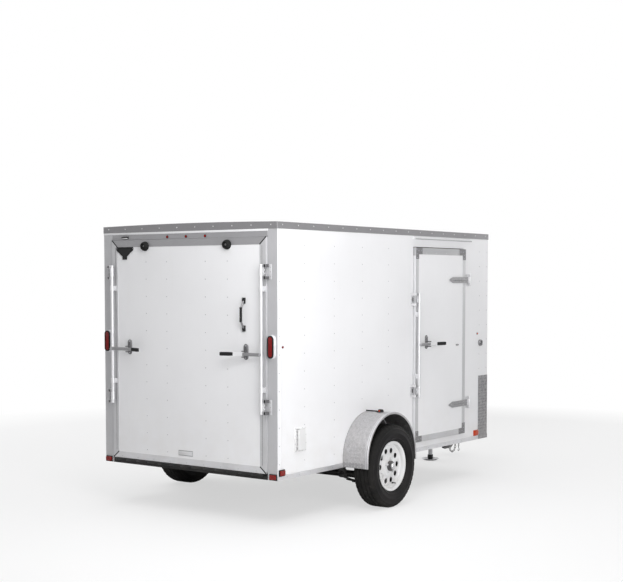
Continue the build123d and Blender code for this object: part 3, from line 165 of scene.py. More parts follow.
def plyColour(vector, grainScale):
    grainAt = stretched(vector, grainScale)
    figure = noise(grainAt, 5.0, 7.0, 0.62)
    waves = {"Vector": grainAt, "Scale": 3.0, "Distortion": 7.0, "Detail": 3.0, "Detail Scale": 1.4}
    rings = add("ShaderNodeTexWave", waves, wave_type="RINGS").outputs["Fac"]
    tone = calc("ADD", calc("MULTIPLY", rings, 0.45), calc("MULTIPLY", figure, 0.6))
    return mixColours(ramp(tone, 0.25, 0.85), panelLook["ply"], panelLook["plyDark"]), tone


def panelMaterial(name, insideAxis, insideFrom, towards, grainScale):
    # white skin outside and bare plywood on the inner face; towards is 1 where inside lies at larger values
    material, shader, at = startMaterial(name)
    cloud = noise(at, 1.3, 3.0)
    fine = noise(at, 34.0, 5.0)
    white = mixColours(ramp(cloud, 0.35, 0.7), panelLook["skin"], panelLook["skinShade"])
    streakAt = stretched(at, (9.0, 9.0, 0.6))
    streak = ramp(noise(streakAt, 3.0, 6.0), 0.58, 0.75, 0.0, 0.05)
    white = mixColours(streak, white, panelLook["dust"])
    white = roadDust(at, white, panelLook["dust"], 0.2, 1.0)
    if name == "sidePanel":
        # painted shade: the side wall inside the fender's arch is darkened
        overX = calc("SUBTRACT", axisOf(at, "X"), archMiddle.x)
        overZ = calc("SUBTRACT", axisOf(at, "Z"), archMiddle.z)
        reach = calc("ADD", calc("MULTIPLY", overX, overX), calc("MULTIPLY", overZ, overZ))
        shaded = calc("LESS_THAN", reach, archReach * archReach)
        white = mixColours(shaded, white, (0.05, 0.048, 0.05))
    ply, grain = plyColour(at, grainScale)
    place = axisOf(at, insideAxis)
    if towards == 0:
        place = calc("ABSOLUTE", place)
    inside = calc("LESS_THAN" if towards <= 0 else "GREATER_THAN", place, insideFrom)
    feed(shader, "Base Color", mixColours(inside, white, ply))
    rough = calc("ADD", calc("MULTIPLY", fine, 0.12), panelLook["roughness"] - 0.06)
    rough = calc("ADD", rough, calc("MULTIPLY", inside, 0.42))
    feed(shader, "Roughness", rough)
    waves = bump(noise(at, 2.1, 2.0), 0.35, panelLook["waveDepth"])
    peel = bump(noise(at, 260.0, 2.0), 0.05, 0.0004, waves)
    feed(shader, "Normal", bump(calc("MULTIPLY", grain, inside), 0.3, 0.0008, peel))
    return material


metalLooks = {
    # colour, darker colour, roughness, metallic, streak scale, edge wear
    "greyTrim": ((0.285, 0.281, 0.29), (0.23, 0.227, 0.235), 0.42, 0.55, (1.0, 60.0, 60.0), 0.3),
    "brightTrim": ((0.78, 0.78, 0.80), (0.66, 0.66, 0.68), 0.34, 0.6, (1.0, 60.0, 60.0), 0.3),
    "postGrey": ((0.53, 0.53, 0.545), (0.46, 0.46, 0.475), 0.45, 0.35, (40.0, 40.0, 1.0), 0.2),
    "headerGrey": ((0.37, 0.367, 0.38), (0.32, 0.318, 0.33), 0.45, 0.35, (40.0, 1.0, 40.0), 0.2),
    "leafUpright": ((0.60, 0.60, 0.615), (0.52, 0.52, 0.535), 0.34, 0.55, (60.0, 60.0, 1.0), 0.3),
    "leafAcross": ((0.72, 0.72, 0.735), (0.63, 0.63, 0.645), 0.36, 0.45, (60.0, 1.0, 60.0), 0.3),
    "lockGrey": ((0.17, 0.168, 0.174), (0.10, 0.099, 0.103), 0.4, 0.6, (30.0, 30.0, 12.0), 0.35),
    "strapGrey": ((0.33, 0.328, 0.337), (0.22, 0.219, 0.226), 0.32, 0.75, (8.0, 30.0, 30.0), 0.4),
    "doorEdge": ((0.62, 0.62, 0.635), (0.53, 0.53, 0.545), 0.36, 0.55, (25.0, 60.0, 25.0), 0.3),
    "castCorner": ((0.26, 0.258, 0.266), (0.21, 0.208, 0.215), 0.5, 0.5, (30.0, 30.0, 30.0), 0.35),
    "hingeZinc": ((0.37, 0.367, 0.376), (0.26, 0.257, 0.266), 0.34, 0.4, (8.0, 30.0, 30.0), 0.4),
    "buttZinc": ((0.74, 0.737, 0.75), (0.64, 0.637, 0.65), 0.4, 0.25, (20.0, 20.0, 20.0), 0.2),
    "doorCast": ((0.23, 0.228, 0.236), (0.18, 0.178, 0.185), 0.5, 0.4, (30.0, 30.0, 30.0), 0.35),
    "zinc": ((0.66, 0.66, 0.685), (0.5, 0.5, 0.52), 0.3, 0.75, (30.0, 30.0, 8.0), 0.25),
    "barZinc": ((0.79, 0.79, 0.805), (0.66, 0.66, 0.675), 0.3, 0.45, (50.0, 50.0, 2.0), 0.2),
    "screwZinc": ((0.55, 0.55, 0.57), (0.42, 0.42, 0.44), 0.35, 0.8, (30.0, 30.0, 30.0), 0.0),
    "screwWhite": ((0.72, 0.72, 0.735), (0.62, 0.62, 0.635), 0.35, 0.3, (30.0, 30.0, 30.0), 0.0),
    "treadPlate": ((0.54, 0.535, 0.545), (0.36, 0.355, 0.363), 0.36, 0.6, (3.0, 3.0, 3.0), 0.0),
    "guardPlate": ((0.38, 0.372, 0.382), (0.16, 0.156, 0.162), 0.34, 0.7, (2.4, 2.4, 2.4), 0.0),
    "plateBar": ((0.58, 0.575, 0.585), (0.4, 0.395, 0.403), 0.28, 0.8, (14.0, 14.0, 14.0), 0.0),
    "hubMetal": ((0.13, 0.128, 0.132), (0.07, 0.069, 0.071), 0.36, 0.7, (20.0, 20.0, 20.0), 0.2),
    "capEnd": ((0.75, 0.75, 0.77), (0.6, 0.6, 0.62), 0.22, 0.9, (20.0, 20.0, 20.0), 0.0),
    "brightBacking": ((0.88, 0.88, 0.9), (0.8, 0.8, 0.82), 0.2, 0.5, (20.0, 20.0, 20.0), 0.0),
    "whiteTrim": ((0.84, 0.84, 0.855), (0.78, 0.78, 0.795), 0.3, 0.1, (1.0, 50.0, 50.0), 0.1),
}


def metalMaterial(name):
    colour, darker, roughness, metallic, streaks, wear = metalLooks[name]
    material, shader, at = startMaterial(name)
    brushed = noise(stretched(at, streaks), 14.0, 5.0, 0.6)
    blotch = noise(at, 6.0, 4.0)
    tone = mixColours(ramp(brushed, 0.3, 0.75), colour, darker)
    tone = mixColours(ramp(blotch, 0.5, 0.8, 0.0, 0.35), tone, darker)
    tone = roadDust(at, tone, (0.36, 0.33, 0.29), 0.25, 0.8)
    if wear:
        rub = calc("MULTIPLY", edgeMask(0.0025), wear)
        tone = mixColours(rub, tone, (0.9, 0.9, 0.92))
    if name == "treadPlate":
        foot = calc("LESS_THAN", axisOf(at, "Z"), fenderLow.z + 0.042)
        tone = mixColours(calc("MULTIPLY", foot, 0.45), tone, (0.2, 0.2, 0.205))
    if name in ("doorEdge", "doorCast"):
        edgeOn = calc("LESS_THAN", axisOf(at, "X"), doorLow.x + 0.001)
        tone = mixColours(calc("MULTIPLY", edgeOn, 0.8), tone, panelLook["skin"])
    if name == "hingeZinc":
        knuckle = calc("GREATER_THAN", axisOf(at, "X"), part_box("side_hinge_butts")[0].x - 0.004)
        tone = mixColours(calc("MULTIPLY", knuckle, 0.75), tone, panelLook["skin"])
    if name == "doorEdge":
        # painted shade: the door frame's top rail is darker
        lintel = calc("GREATER_THAN", axisOf(at, "Z"), doorHigh.z - 0.07)
        tone = mixColours(calc("MULTIPLY", lintel, 0.6), tone, (0.3, 0.3, 0.31))
    if name == "postGrey":
        lapped = calc("GREATER_THAN", calc("ABSOLUTE", axisOf(at, "Y")), halfWidth - 0.0006)
        tone = mixColours(lapped, tone, panelLook["skin"])
        feed(shader, "Metallic", ramp(lapped, 0.2, 0.8, metallic, 0.0))
    feed(shader, "Base Color", tone)
    feed(shader, "Metallic", metallic)
    rough = ramp(calc("ADD", brushed, blotch), 0.5, 1.5, roughness - 0.08, roughness + 0.14)
    feed(shader, "Roughness", rough)
    feed(shader, "Normal", bump(brushed, 0.12, 0.0004))
    return material


def leafMaterial(name):
    # mitred frame: a top rail darkened as painted shade, mid-grey stiles and a lighter foot rail
    material, shader, at = startMaterial(name)
    parts = {}
    for part in ("headerGrey", "leafUpright", "leafAcross"):
        colour, darker = metalLooks[part][:2]
        brushed = noise(stretched(at, metalLooks[part][4]), 14.0, 5.0, 0.6)
        parts[part] = mixColours(ramp(brushed, 0.3, 0.75), colour, darker)
    z = axisOf(at, "Z")
    fromTop = calc("DIVIDE", calc("SUBTRACT", leafHigh.z, z), leafHigh.z - panelHigh.z)
    fromFoot = calc("DIVIDE", calc("SUBTRACT", z, leafLow.z), panelLow.z - leafLow.z)
    across = calc("SUBTRACT", leafHigh.y, calc("ABSOLUTE", axisOf(at, "Y")))
    fromSide = calc("DIVIDE", across, leafHigh.y - panelHigh.y)
    top = calc("LESS_THAN", fromTop, fromSide)
    foot = calc("LESS_THAN", fromFoot, fromSide)
    # painted shade: the top rail takes the darker header grey
    tone = mixColours(top, parts["leafUpright"], parts["headerGrey"])
    tone = mixColours(foot, tone, parts["leafAcross"])
    blotch = noise(at, 6.0, 4.0)
    tone = mixColours(ramp(blotch, 0.5, 0.8, 0.0, 0.2), tone, (0.3, 0.3, 0.31))
    tone = roadDust(at, tone, (0.36, 0.33, 0.29), 0.2, 0.8)
    feed(shader, "Base Color", tone)
    feed(shader, "Metallic", 0.45)
    feed(shader, "Roughness", ramp(blotch, 0.3, 0.75, 0.36, 0.52))
    feed(shader, "Normal", bump(blotch, 0.12, 0.0004))
    return material


darkLooks = {
    # colour, lighter colour, roughness, grain scale, grain depth, dust amount
    "blackPaint": ((0.01, 0.01, 0.011), (0.02, 0.0195, 0.0195), 0.34, 90.0, 0.0003, 0.35),
    "blackPlastic": ((0.012, 0.012, 0.013), (0.024, 0.024, 0.025), 0.5, 420.0, 0.0003, 0.15),
    "bumperRubber": ((0.009, 0.009, 0.009), (0.018, 0.018, 0.018), 0.62, 300.0, 0.0003, 0.1),
    "tyreRubber": ((0.006, 0.0056, 0.006), (0.015, 0.0138, 0.0143), 0.55, 240.0, 0.0004, 0.07),
    "treadRubber": ((0.007, 0.007, 0.007), (0.018, 0.017, 0.0165), 0.72, 160.0, 0.0006, 0.1),
}


def darkMaterial(name):
    colour, lighter, roughness, grainScale, grainDepth, dusty = darkLooks[name]
    material, shader, at = startMaterial(name)
    blotch = noise(at, 7.0, 6.0, 0.6)
    grain = noise(at, grainScale, 3.0)
    tone = mixColours(ramp(blotch, 0.35, 0.75), colour, lighter)
    tone = roadDust(at, tone, (0.1, 0.092, 0.082), dusty, 0.7)
    rub = calc("MULTIPLY", edgeMask(0.002), ramp(blotch, 0.45, 0.6, 0.0, 0.5))
    feed(shader, "Base Color", mixColours(rub, tone, (0.06, 0.059, 0.058)))
    rough = ramp(blotch, 0.3, 0.75, roughness - 0.07, roughness + 0.12)
    feed(shader, "Roughness", rough)
    feed(shader, "Specular IOR Level", 0.13 if "Rubber" in name else 0.2)
    feed(shader, "Normal", bump(grain, 0.4, grainDepth))
    return material


lensLooks = {
    # colour, deep colour
    "redLens": ((0.24, 0.004, 0.004), (0.1, 0.002, 0.002)),
    "brightRedLens": ((0.3, 0.012, 0.008), (0.1, 0.004, 0.004)),
    "amberLens": ((0.62, 0.07, 0.02), (0.32, 0.03, 0.008)),
}


def lensMaterial(name):
    colour, deep = lensLooks[name]
    material, shader, at = startMaterial(name)
    cells = add("ShaderNodeTexVoronoi", {"Vector": at, "Scale": 170.0}).outputs["Distance"]
    cloud = noise(at, 22.0, 3.0)
    tone = mixColours(ramp(cells, 0.0, 0.75), deep, colour)
    tone = mixColours(ramp(cloud, 0.45, 0.8, 0.0, 0.5), tone, deep)
    feed(shader, "Base Color", tone)
    feed(shader, "Roughness", ramp(cloud, 0.3, 0.7, 0.1, 0.22))
    feed(shader, "Specular IOR Level", 0.3)
    feed(shader, "Coat Weight", 0.15)
    feed(shader, "Coat Roughness", 0.08)
    feed(shader, "Normal", bump(cells, 0.25, 0.0006))
    return material


def paintMaterial(name, colour, shade, roughness):
    # smooth enamel or moulded plastic with faint soiling
    material, shader, at = startMaterial(name)
    cloud = noise(at, 5.0, 5.0)
    tone = mixColours(ramp(cloud, 0.4, 0.75), colour, shade)
    tone = roadDust(at, tone, (0.5, 0.47, 0.42), 0.35, 0.75)
    edge = calc("MULTIPLY", edgeMask(0.003), ramp(cloud, 0.5, 0.65, 0.0, 0.3))
    feed(shader, "Base Color", mixColours(edge, tone, (0.45, 0.43, 0.4)))
    feed(shader, "Roughness", ramp(cloud, 0.3, 0.75, roughness - 0.05, roughness + 0.1))
    feed(shader, "Normal", bump(noise(at, 300.0, 2.0), 0.08, 0.0003))
    return material


def plyMaterial(name, grainScale):
    material, shader, at = startMaterial(name)
    ply, grain = plyColour(at, grainScale)
    sheets = add("ShaderNodeTexBrick", {
        "Vector": at, "Scale": 1.0, "Mortar Size": 0.0015, "Brick Width": 2.44, "Row Height": 1.22,
        "Color1": (1, 1, 1, 1), "Color2": (0.9, 0.88, 0.86, 1), "Mortar": (0.1, 0.08, 0.06, 1),
    }).outputs["Color"]
    under = calc("LESS_THAN", axisOf(at, "Z"), deckLow.z + 0.002)
    boards = mixColours(1.0, ply, sheets, "MULTIPLY")
    feed(shader, "Base Color", mixColours(under, boards, (0.03, 0.03, 0.031)))
    feed(shader, "Roughness", ramp(grain, 0.2, 0.8, 0.62, 0.82))
    feed(shader, "Normal", bump(grain, 0.3, 0.0008))
    return material


materials = {}
for lookName in metalLooks:
    materials[lookName] = metalMaterial(lookName)
for lookName in darkLooks:
    materials[lookName] = darkMaterial(lookName)
for lookName in lensLooks:
    materials[lookName] = lensMaterial(lookName)
materials["whitePlastic"] = paintMaterial("whitePlastic", (0.84, 0.84, 0.845), (0.78, 0.78, 0.785), 0.42)
materials["rimPaint"] = paintMaterial("rimPaint", (0.80, 0.80, 0.81), (0.74, 0.74, 0.75), 0.3)
materials["leafFrame"] = leafMaterial("leafFrame")
materials["floorPly"] = plyMaterial("floorPly", (0.5, 5.0, 5.0))
materials["sidePanel"] = panelMaterial("sidePanel", "Y", innerHalf + 0.002, 0, (5.0, 5.0, 0.5))
materials["frontPanel"] = panelMaterial("frontPanel", "X", frontLow.x + 0.002, -1, (5.0, 5.0, 0.5))
materials["rampPanel"] = panelMaterial("rampPanel", "X", panelHigh.x - 0.002, 1, (5.0, 5.0, 0.5))
materials["doorPanel"] = panelMaterial("doorPanel", "Y", doorPanelHigh.y - 0.002, 1, (5.0, 5.0, 0.5))
materials["roofSkin"] = panelMaterial("roofSkin", "Z", wallHigh.z + 0.001, -1, (0.5, 5.0, 5.0))
print("materials:", len(materials))


# CAD nodes that keep their own shape: node, material, edge rounding

keptNodes = (
    ("wall_right", "sidePanel", 0.0015), ("wall_left", "sidePanel", 0.0015),
    ("wall_front", "frontPanel", 0.0015), ("roof_panel", "roofSkin", 0.0),
    ("floor_deck", "floorPly", 0.001), ("side_rails", "blackPaint", 0.003),
    ("crossmembers", "blackPaint", 0.003), ("rear_posts", "postGrey", 0.003),
    ("rear_header", "headerGrey", 0.002), ("rear_sill", "blackPaint", 0.001),
    ("ramp_panel", "rampPanel", 0.0), ("ramp_hinge", "blackPaint", 0.001),
    ("side_door_panel", "doorPanel", 0.0), ("side_door_frame", "doorEdge", 0.002),
    ("side_door_corners", "doorCast", 0.0008), ("foot_trim", "brightTrim", 0.001),
    ("roof_trim", "greyTrim", 0.001), ("drip_cap", "whiteTrim", 0.0008),
    ("tongue_plates", "blackPaint", 0.0015),
    ("axle_beam", "blackPaint", 0.002), ("leaf_springs", "blackPaint", 0.001),
    ("spring_hangers", "blackPaint", 0.0012), ("side_hinge_butts", "buttZinc", 0.0012),
    ("side_hinge_straps", "hingeZinc", 0.0012), ("plate_bracket", "blackPlastic", 0.0008),
    ("stone_guard", "guardPlate", 0.0), ("ramp_frame", "leafFrame", 0.0012),
)


def dressNode(node, material, edge):
    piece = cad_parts[node]
    piece.data.materials.clear()
    piece.data.materials.append(materials[material])
    if edge:
        weld = piece.modifiers.new("weld", "WELD")
        weld.merge_threshold = 0.00001
        bevel = piece.modifiers.new("edge", "BEVEL")
        bevel.width = edge
        bevel.segments = 2
        bevel.limit_method = "ANGLE"
        bevel.angle_limit = math.radians(38)
        bevel.harden_normals = True


for node, material, edge in keptNodes:
    dressNode(node, material, edge)
print("kept nodes dressed:", len(keptNodes))


# Mesh helpers: each adds a closed shape to a bmesh, with its faces on one material number


def newFacesAs(mesh, known, number):
    for face in mesh.faces:
        if face not in known:
            face.material_index = number


def addBox(mesh, low, high, edge=0.0, number=0, turn=None):
    known = set(mesh.faces)
    middle = [(a + b) / 2 for a, b in zip(low, high)]
    size = [abs(b - a) for a, b in zip(low, high)]
    place = moved(middle) @ Matrix.Diagonal((*size, 1.0))
    if turn is not None:
        place = turn @ place
    made = bmesh.ops.create_cube(mesh, size=1.0, matrix=place)
    if edge:
        edges = list({e for v in made["verts"] for e in v.link_edges})
        bmesh.ops.bevel(mesh, geom=edges, offset=edge, segments=2, profile=0.6, affect="EDGES")
    newFacesAs(mesh, known, number)


def turnedFrame(direction):
    # two axes square to a direction
    along = Vector(direction).normalized()
    side = along.cross(axisZ) if abs(along.z) < 0.9 else along.cross(axisX)
    side.normalize()
    return along, side, along.cross(side)


def circle(count):
    # cosine and sine at even steps round a circle
    for step in range(count):
        angle = 2 * math.pi * step / count
        yield math.cos(angle), math.sin(angle)


def joinRings(mesh, rings, number=0, closed=False, capped=False):
    # faces between rings that follow each other; a ring of one point is a tip
    for first, second in zip(rings, rings[1:] + (rings[:1] if closed else [])):
        count = max(len(first), len(second))
        for step in range(count):
            after = (step + 1) % count
            corners = [first[step % len(first)], first[after % len(first)]]
            corners += [second[after % len(second)], second[step % len(second)]]
            unique = list(dict.fromkeys(corners))
            if len(unique) > 2:
                mesh.faces.new(unique).material_index = number
    if capped:
        for ring in (rings[0], rings[-1]):
            mesh.faces.new(ring).material_index = number


def addLathe(mesh, origin, direction, profile, sides=24, number=0, closed=False):
    # profile is radius and distance along the direction; a radius of 0 closes an end
    along, side, other = turnedFrame(direction)
    rings = []
    for radius, reach in profile:
        middle = Vector(origin) + along * reach
        spokes = [side * c + other * s for c, s in circle(sides)] if radius else [Vector()]
        rings.append([mesh.verts.new(middle + spoke * radius) for spoke in spokes])
    joinRings(mesh, rings, number, closed)


def addRod(mesh, start, end, radius, edge=0.0, sides=20, number=0):
    start, end = Vector(start), Vector(end)
    long = (end - start).length
    profile = [(0, 0), (radius - edge, 0), (radius, edge), (radius, long - edge), (radius - edge, long)]
    addLathe(mesh, start, end - start, profile + [(0, long)], sides, number)


def addSweep(mesh, points, radius, sides=12, number=0):
    # round bar along a line of points
    points = [Vector(p) for p in points]
    rings = []
    side = None
    for place, point in enumerate(points):
        before, after = points[max(place - 1, 0)], points[min(place + 1, len(points) - 1)]
        along, freshSide, _ = turnedFrame(after - before)
        side = freshSide if side is None else (side - along * side.dot(along)).normalized()
        other = along.cross(side)
        rings.append([mesh.verts.new(point + (side * c + other * s) * radius) for c, s in circle(sides)])
    joinRings(mesh, rings, number, capped=True)


def addPlate(mesh, outline, place, thickness, edge=0.0, number=0):
    # flat outline in the place's XY plane, thick along its Z, with its top edge rounded
    known = set(mesh.faces)
    low = [mesh.verts.new(place @ Vector((x, y, 0))) for x, y in outline]
    high = [mesh.verts.new(place @ Vector((x, y, thickness))) for x, y in outline]
    mesh.faces.new(list(reversed(low)))
    top = mesh.faces.new(high)
    for step in range(len(outline)):
        after = (step + 1) % len(outline)
        mesh.faces.new((low[step], low[after], high[after], high[step]))
    if edge:
        bmesh.ops.bevel(mesh, geom=list(top.edges), offset=edge, segments=2, profile=0.6, affect="EDGES")
    newFacesAs(mesh, known, number)


def roundedOutline(width, height, radius, steps=5):
    points = []
    for corner, (sx, sy) in enumerate(((1, 1), (-1, 1), (-1, -1), (1, -1))):
        middle = Vector((sx * (width / 2 - radius), sy * (height / 2 - radius)))
        for step in range(steps + 1):
            angle = math.pi / 2 * (corner + step / steps)
            points.append((middle.x + radius * math.cos(angle), middle.y + radius * math.sin(angle)))
    return points


def addOvals(mesh, place, width, height, steps, sides=10, number=0, hollow=False):
    # stacked round-ended outlines; a step is how much smaller (two numbers if they differ) and how far out
    rings = []
    for step in steps:
        wide, tall = width - step[0], height - step[-2]
        outline = roundedOutline(wide, tall, min(wide, tall) / 2 * 0.999, sides)
        rings.append([mesh.verts.new(place @ Vector((x, y, step[-1]))) for x, y in outline])
    joinRings(mesh, rings, number, hollow, not hollow)


def addHead(mesh, point, normal, radius, rise, number=0):
    # a plain bolt head with its washer
    profile = [(0, 0), (radius, 0), (radius, rise * 0.3), (radius * 0.75, rise * 0.35)]
    addLathe(mesh, point, normal, profile + [(radius * 0.7, rise), (0, rise)], 10, number)


def facing(origin, normal, up=axisZ):
    # a place whose local Z points along the normal and whose local Y points up
    normal = Vector(normal).normalized()
    right = Vector(up).cross(normal).normalized()
    lift = normal.cross(right)
    return moved(origin) @ Matrix((right, lift, normal)).transposed().to_4x4()


def show(name, data):
    piece = bpy.data.objects.new(name, data)
    bpy.context.scene.collection.objects.link(piece)
    return piece


def plainMesh(piece):
    # the piece's mesh with its modifiers worked in
    bpy.context.view_layer.update()
    ready = bpy.context.evaluated_depsgraph_get()
    return bpy.data.meshes.new_from_object(piece.evaluated_get(ready), depsgraph=ready)


def smoothTo(data, sharp):
    data.shade_smooth()
    data.set_sharp_from_angle(angle=math.radians(sharp))


def seatPiece(piece, body, replaced=()):
    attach(piece, body)
    if replaced:
        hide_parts(*replaced)


def finishPiece(name, mesh, body, looks, replaced=(), sharp=32.0):
    # a bmesh becomes an object that rides on its body
    bmesh.ops.recalc_face_normals(mesh, faces=list(mesh.faces))
    data = bpy.data.meshes.new(name)
    mesh.to_mesh(data)
    mesh.free()
    smoothTo(data, sharp)
    for look in looks:
        data.materials.append(materials[look])
    seatPiece(show(name, data), body, replaced)


# Geometry Nodes: a tree sets a small shape on every point of a host, turned to the point's facing


def startTree(name, sizes):
    # gives back what reads the tree's named inputs
    global tree
    tree = bpy.data.node_groups.new(name, "GeometryNodeTree")
    inputs = [("Points", "Geometry", None)]
    for label, value in sizes.items():
        inputs.append((label, "Int" if isinstance(value, int) else "Float", value))
    inputs += [("Turn Variation", "Float", 0.0), ("Seed", "Int", 7), ("Material", "Material", None)]
    for label, kind, value in inputs:
        socket = tree.interface.new_socket(label, in_out="INPUT", socket_type="NodeSocket" + kind)
        if value is not None:
            socket.default_value = value
    tree.interface.new_socket("Geometry", in_out="OUTPUT", socket_type="NodeSocketGeometry")
    given = tree.nodes.new("NodeGroupInput")
    return lambda label: given.outputs[label]


def setOnPoints(take, shape):
    named, align = "GeometryNodeInputNamedAttribute", "FunctionNodeAlignRotationToVector"
    facingAt = add(named, {"Name": "facing"}, data_type="FLOAT_VECTOR").outputs[0]
    alongAt = add(named, {"Name": "along"}, data_type="FLOAT_VECTOR").outputs[0]
    turn = add(align, {"Vector": facingAt}, axis="Z").outputs[0]
    turn = add(align, {"Rotation": turn, "Vector": alongAt}, axis="X", pivot_axis="Z").outputs[0]
    limits = {2: -1.0, 3: 1.0, "Seed": take("Seed")}
    chance = add("FunctionNodeRandomValue", limits, data_type="FLOAT").outputs[1]
    swing = {"Axis": (0, 0, 1), "Angle": calc("MULTIPLY", chance, take("Turn Variation"))}
    swing = add("FunctionNodeAxisAngleToRotation", swing).outputs[0]
    turns = {"Rotation": turn, "Rotate By": swing}
    total = add("FunctionNodeRotateRotation", turns, rotation_space="LOCAL").outputs[0]
    spread = {"Points": take("Points"), "Instance": shape, "Rotation": total}
    spread = add("GeometryNodeInstanceOnPoints", spread).outputs[0]
    whole = add("GeometryNodeRealizeInstances", {"Geometry": spread}).outputs[0]
    dressed = add("GeometryNodeSetMaterial", {"Geometry": whole, "Material": take("Material")}).outputs[0]
    add("NodeGroupOutput", {0: dressed})
    return tree


def screwTree():
    # washer and hexagon head
    take = startTree("screwHeads", {"Head Radius": 0.005, "Head Height": 0.003, "Head Sides": 6})
    radius, height = take("Head Radius"), take("Head Height")
    washer = add("GeometryNodeMeshCone", {
        "Vertices": 12, "Radius Bottom": radius, "Radius Top": calc("MULTIPLY", radius, 0.9),
        "Depth": calc("MULTIPLY", height, 0.35),
    })
    head = add("GeometryNodeMeshCone", {
        "Vertices": take("Head Sides"), "Radius Bottom": calc("MULTIPLY", radius, 0.66),
        "Radius Top": calc("MULTIPLY", radius, 0.56), "Depth": height,
    })
    joined = add("GeometryNodeJoinGeometry", {0: washer.outputs["Mesh"]})
    feed(joined, 0, head.outputs["Mesh"])
    return setOnPoints(take, joined.outputs[0])


def scaledBall(take, segments, rings, radius, scale):
    ball = {"Segments": segments, "Rings": rings, "Radius": radius}
    ball = add("GeometryNodeMeshUVSphere", ball).outputs[0]
    size = add("ShaderNodeCombineXYZ", dict(enumerate(scale))).outputs[0]
    return setOnPoints(take, add("GeometryNodeTransform", {"Geometry": ball, "Scale": size}).outputs[0])


def rivetTree():
    # low dome
    take = startTree("rivetDomes", {"Dome Radius": 0.004, "Dome Height": 0.0016})
    return scaledBall(take, 10, 6, 1.0, [take("Dome Radius"), take("Dome Radius"), take("Dome Height")])


def barTree():
    # raised bar of a tread plate: a flattened, pointed grain
    take = startTree("plateBars", {"Bar Length": 0.026, "Bar Width": 0.006, "Bar Height": 0.0016})
    doubled = calc("MULTIPLY", take("Bar Height"), 2.0)
    return scaledBall(take, 8, 4, 0.5, [take("Bar Length"), take("Bar Width"), doubled])


def linkTree():
    # chain link: a round wire along a rounded rectangle
    take = startTree("chainLinks", {"Link Length": 0.034, "Link Width": 0.018, "Wire Radius": 0.0035})
    size = {"Width": take("Link Length"), "Height": take("Link Width")}
    track = add("GeometryNodeCurvePrimitiveQuadrilateral", size).outputs[0]
    half = calc("MULTIPLY", take("Link Width"), 0.499)
    bent = {"Curve": track, "Radius": half, "Count": 4}
    bent = add("GeometryNodeFilletCurve", bent, mode="POLY").outputs[0]
    wire = {"Resolution": 8, "Radius": take("Wire Radius")}
    wire = add("GeometryNodeCurvePrimitiveCircle", wire).outputs[0]
    link = add("GeometryNodeCurveToMesh", {"Curve": bent, "Profile Curve": wire}).outputs[0]
    return setOnPoints(take, link)


trees = {"screw": screwTree(), "rivet": rivetTree(), "bar": barTree(), "link": linkTree()}
print("trees:", len(trees))


def spot(point, normal, along=None):
    normal = Vector(normal).normalized()
    along = turnedFrame(normal)[1] if along is None else Vector(along)
    return {"point": Vector(point), "facing": normal, "along": along}


def repeatOnSpots(name, treeName, spots, inputs, body, look, replaced=(), smooth=False):
    data = bpy.data.meshes.new(name)
    data.from_pydata([s["point"] for s in spots], [], [])
    for label in ("facing", "along"):
        attribute = data.attributes.new(label, "FLOAT_VECTOR", "POINT")
        for number, s in enumerate(spots):
            attribute.data[number].vector = s[label]
    piece = show(name, data)
    nodes = piece.modifiers.new("nodes", "NODES")
    nodes.node_group = trees[treeName]
    sockets = {i.name: i.identifier for i in trees[treeName].interface.items_tree if i.in_out == "INPUT"}
    for label, value in {**inputs, "Material": materials[look]}.items():
        nodes[sockets[label]] = value
    made = plainMesh(piece)
    piece.modifiers.remove(nodes)
    piece.data = made
    bpy.data.meshes.remove(data)
    if smooth:
        smoothTo(made, 40)
    seatPiece(piece, body, replaced)


def headSize(radius, height, turn=3.0):
    return {"Head Radius": radius, "Head Height": height, "Turn Variation": turn}


# Screws of the body: rows and columns on the walls, the ramp and the trims

screwLayout = {
    "wallRowTop": 2.143, "wallRowPitch": 0.1388, "wallRows": 13,
    "wallColumnFirst": 0.342, "wallColumnPitch": 0.4,
    "cornerInset": 0.022,
    "rampColumns": (-0.43, -0.205, 0.205, 0.43),
    "rampRowTop": 2.022, "rampRowPitch": 0.1394, "rampRows": 12,
    "wallHead": 0.0045, "wallRise": 0.0022,
    "trimPitch": 0.2, "trimHead": 0.005, "trimRise": 0.003,
}


def clearOf(boxes, x, z, margin=0.02):
    return all(not (a - margin < x < b + margin and c - margin < z < d + margin) for a, b, c, d in boxes)


def sideBox(node, margin=0.0):
    low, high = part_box(node)
    return (low.x - margin, high.x + margin, low.z - margin, high.z + margin)


def wallScrews():
    lay = screwLayout
    heights = [lay["wallRowTop"] - row * lay["wallRowPitch"] for row in range(lay["wallRows"] + 1)]
    columns = [rearX + lay["cornerInset"], frontX - lay["cornerInset"]]
    x = rearX + lay["wallColumnFirst"]
    while x < frontX - 0.1:
        columns.append(x)
        x += lay["wallColumnPitch"]
    blocked = [sideBox(n) for n in ("side_vents", "stone_guard")]
    blocked.append((fenderLow.x, fenderHigh.x, 0.0, fenderHigh.z))
    doorway = [sideBox("side_door_frame", 0.03), sideBox("side_hinge_butts"), sideBox("door_holdback")]
    doorway.append((doorLow.x - 0.08, doorLow.x, 0.8, 1.8))
    spots = []
    for side in (-1, 1):
        for x in columns:
            for z in heights[:-1]:
                if clearOf(blocked + (doorway if side < 0 else []), x, z, 0.01):
                    spots.append(spot((x, side * halfWidth, z), (0, side, 0)))
    across = [column * lay["wallColumnPitch"] for column in range(-2, 3)]
    across += [side * (halfWidth - lay["cornerInset"]) for side in (-1, 1)]
    overGuard = [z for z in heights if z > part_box("stone_guard")[1].z + 0.02]
    spots += [spot((frontX, y, z), axisX) for y in across for z in overGuard]
    size = headSize(lay["wallHead"], lay["wallRise"])
    repeatOnSpots("wallScrews", "screw", spots, size, "trailer", "screwZinc")
    return len(spots)


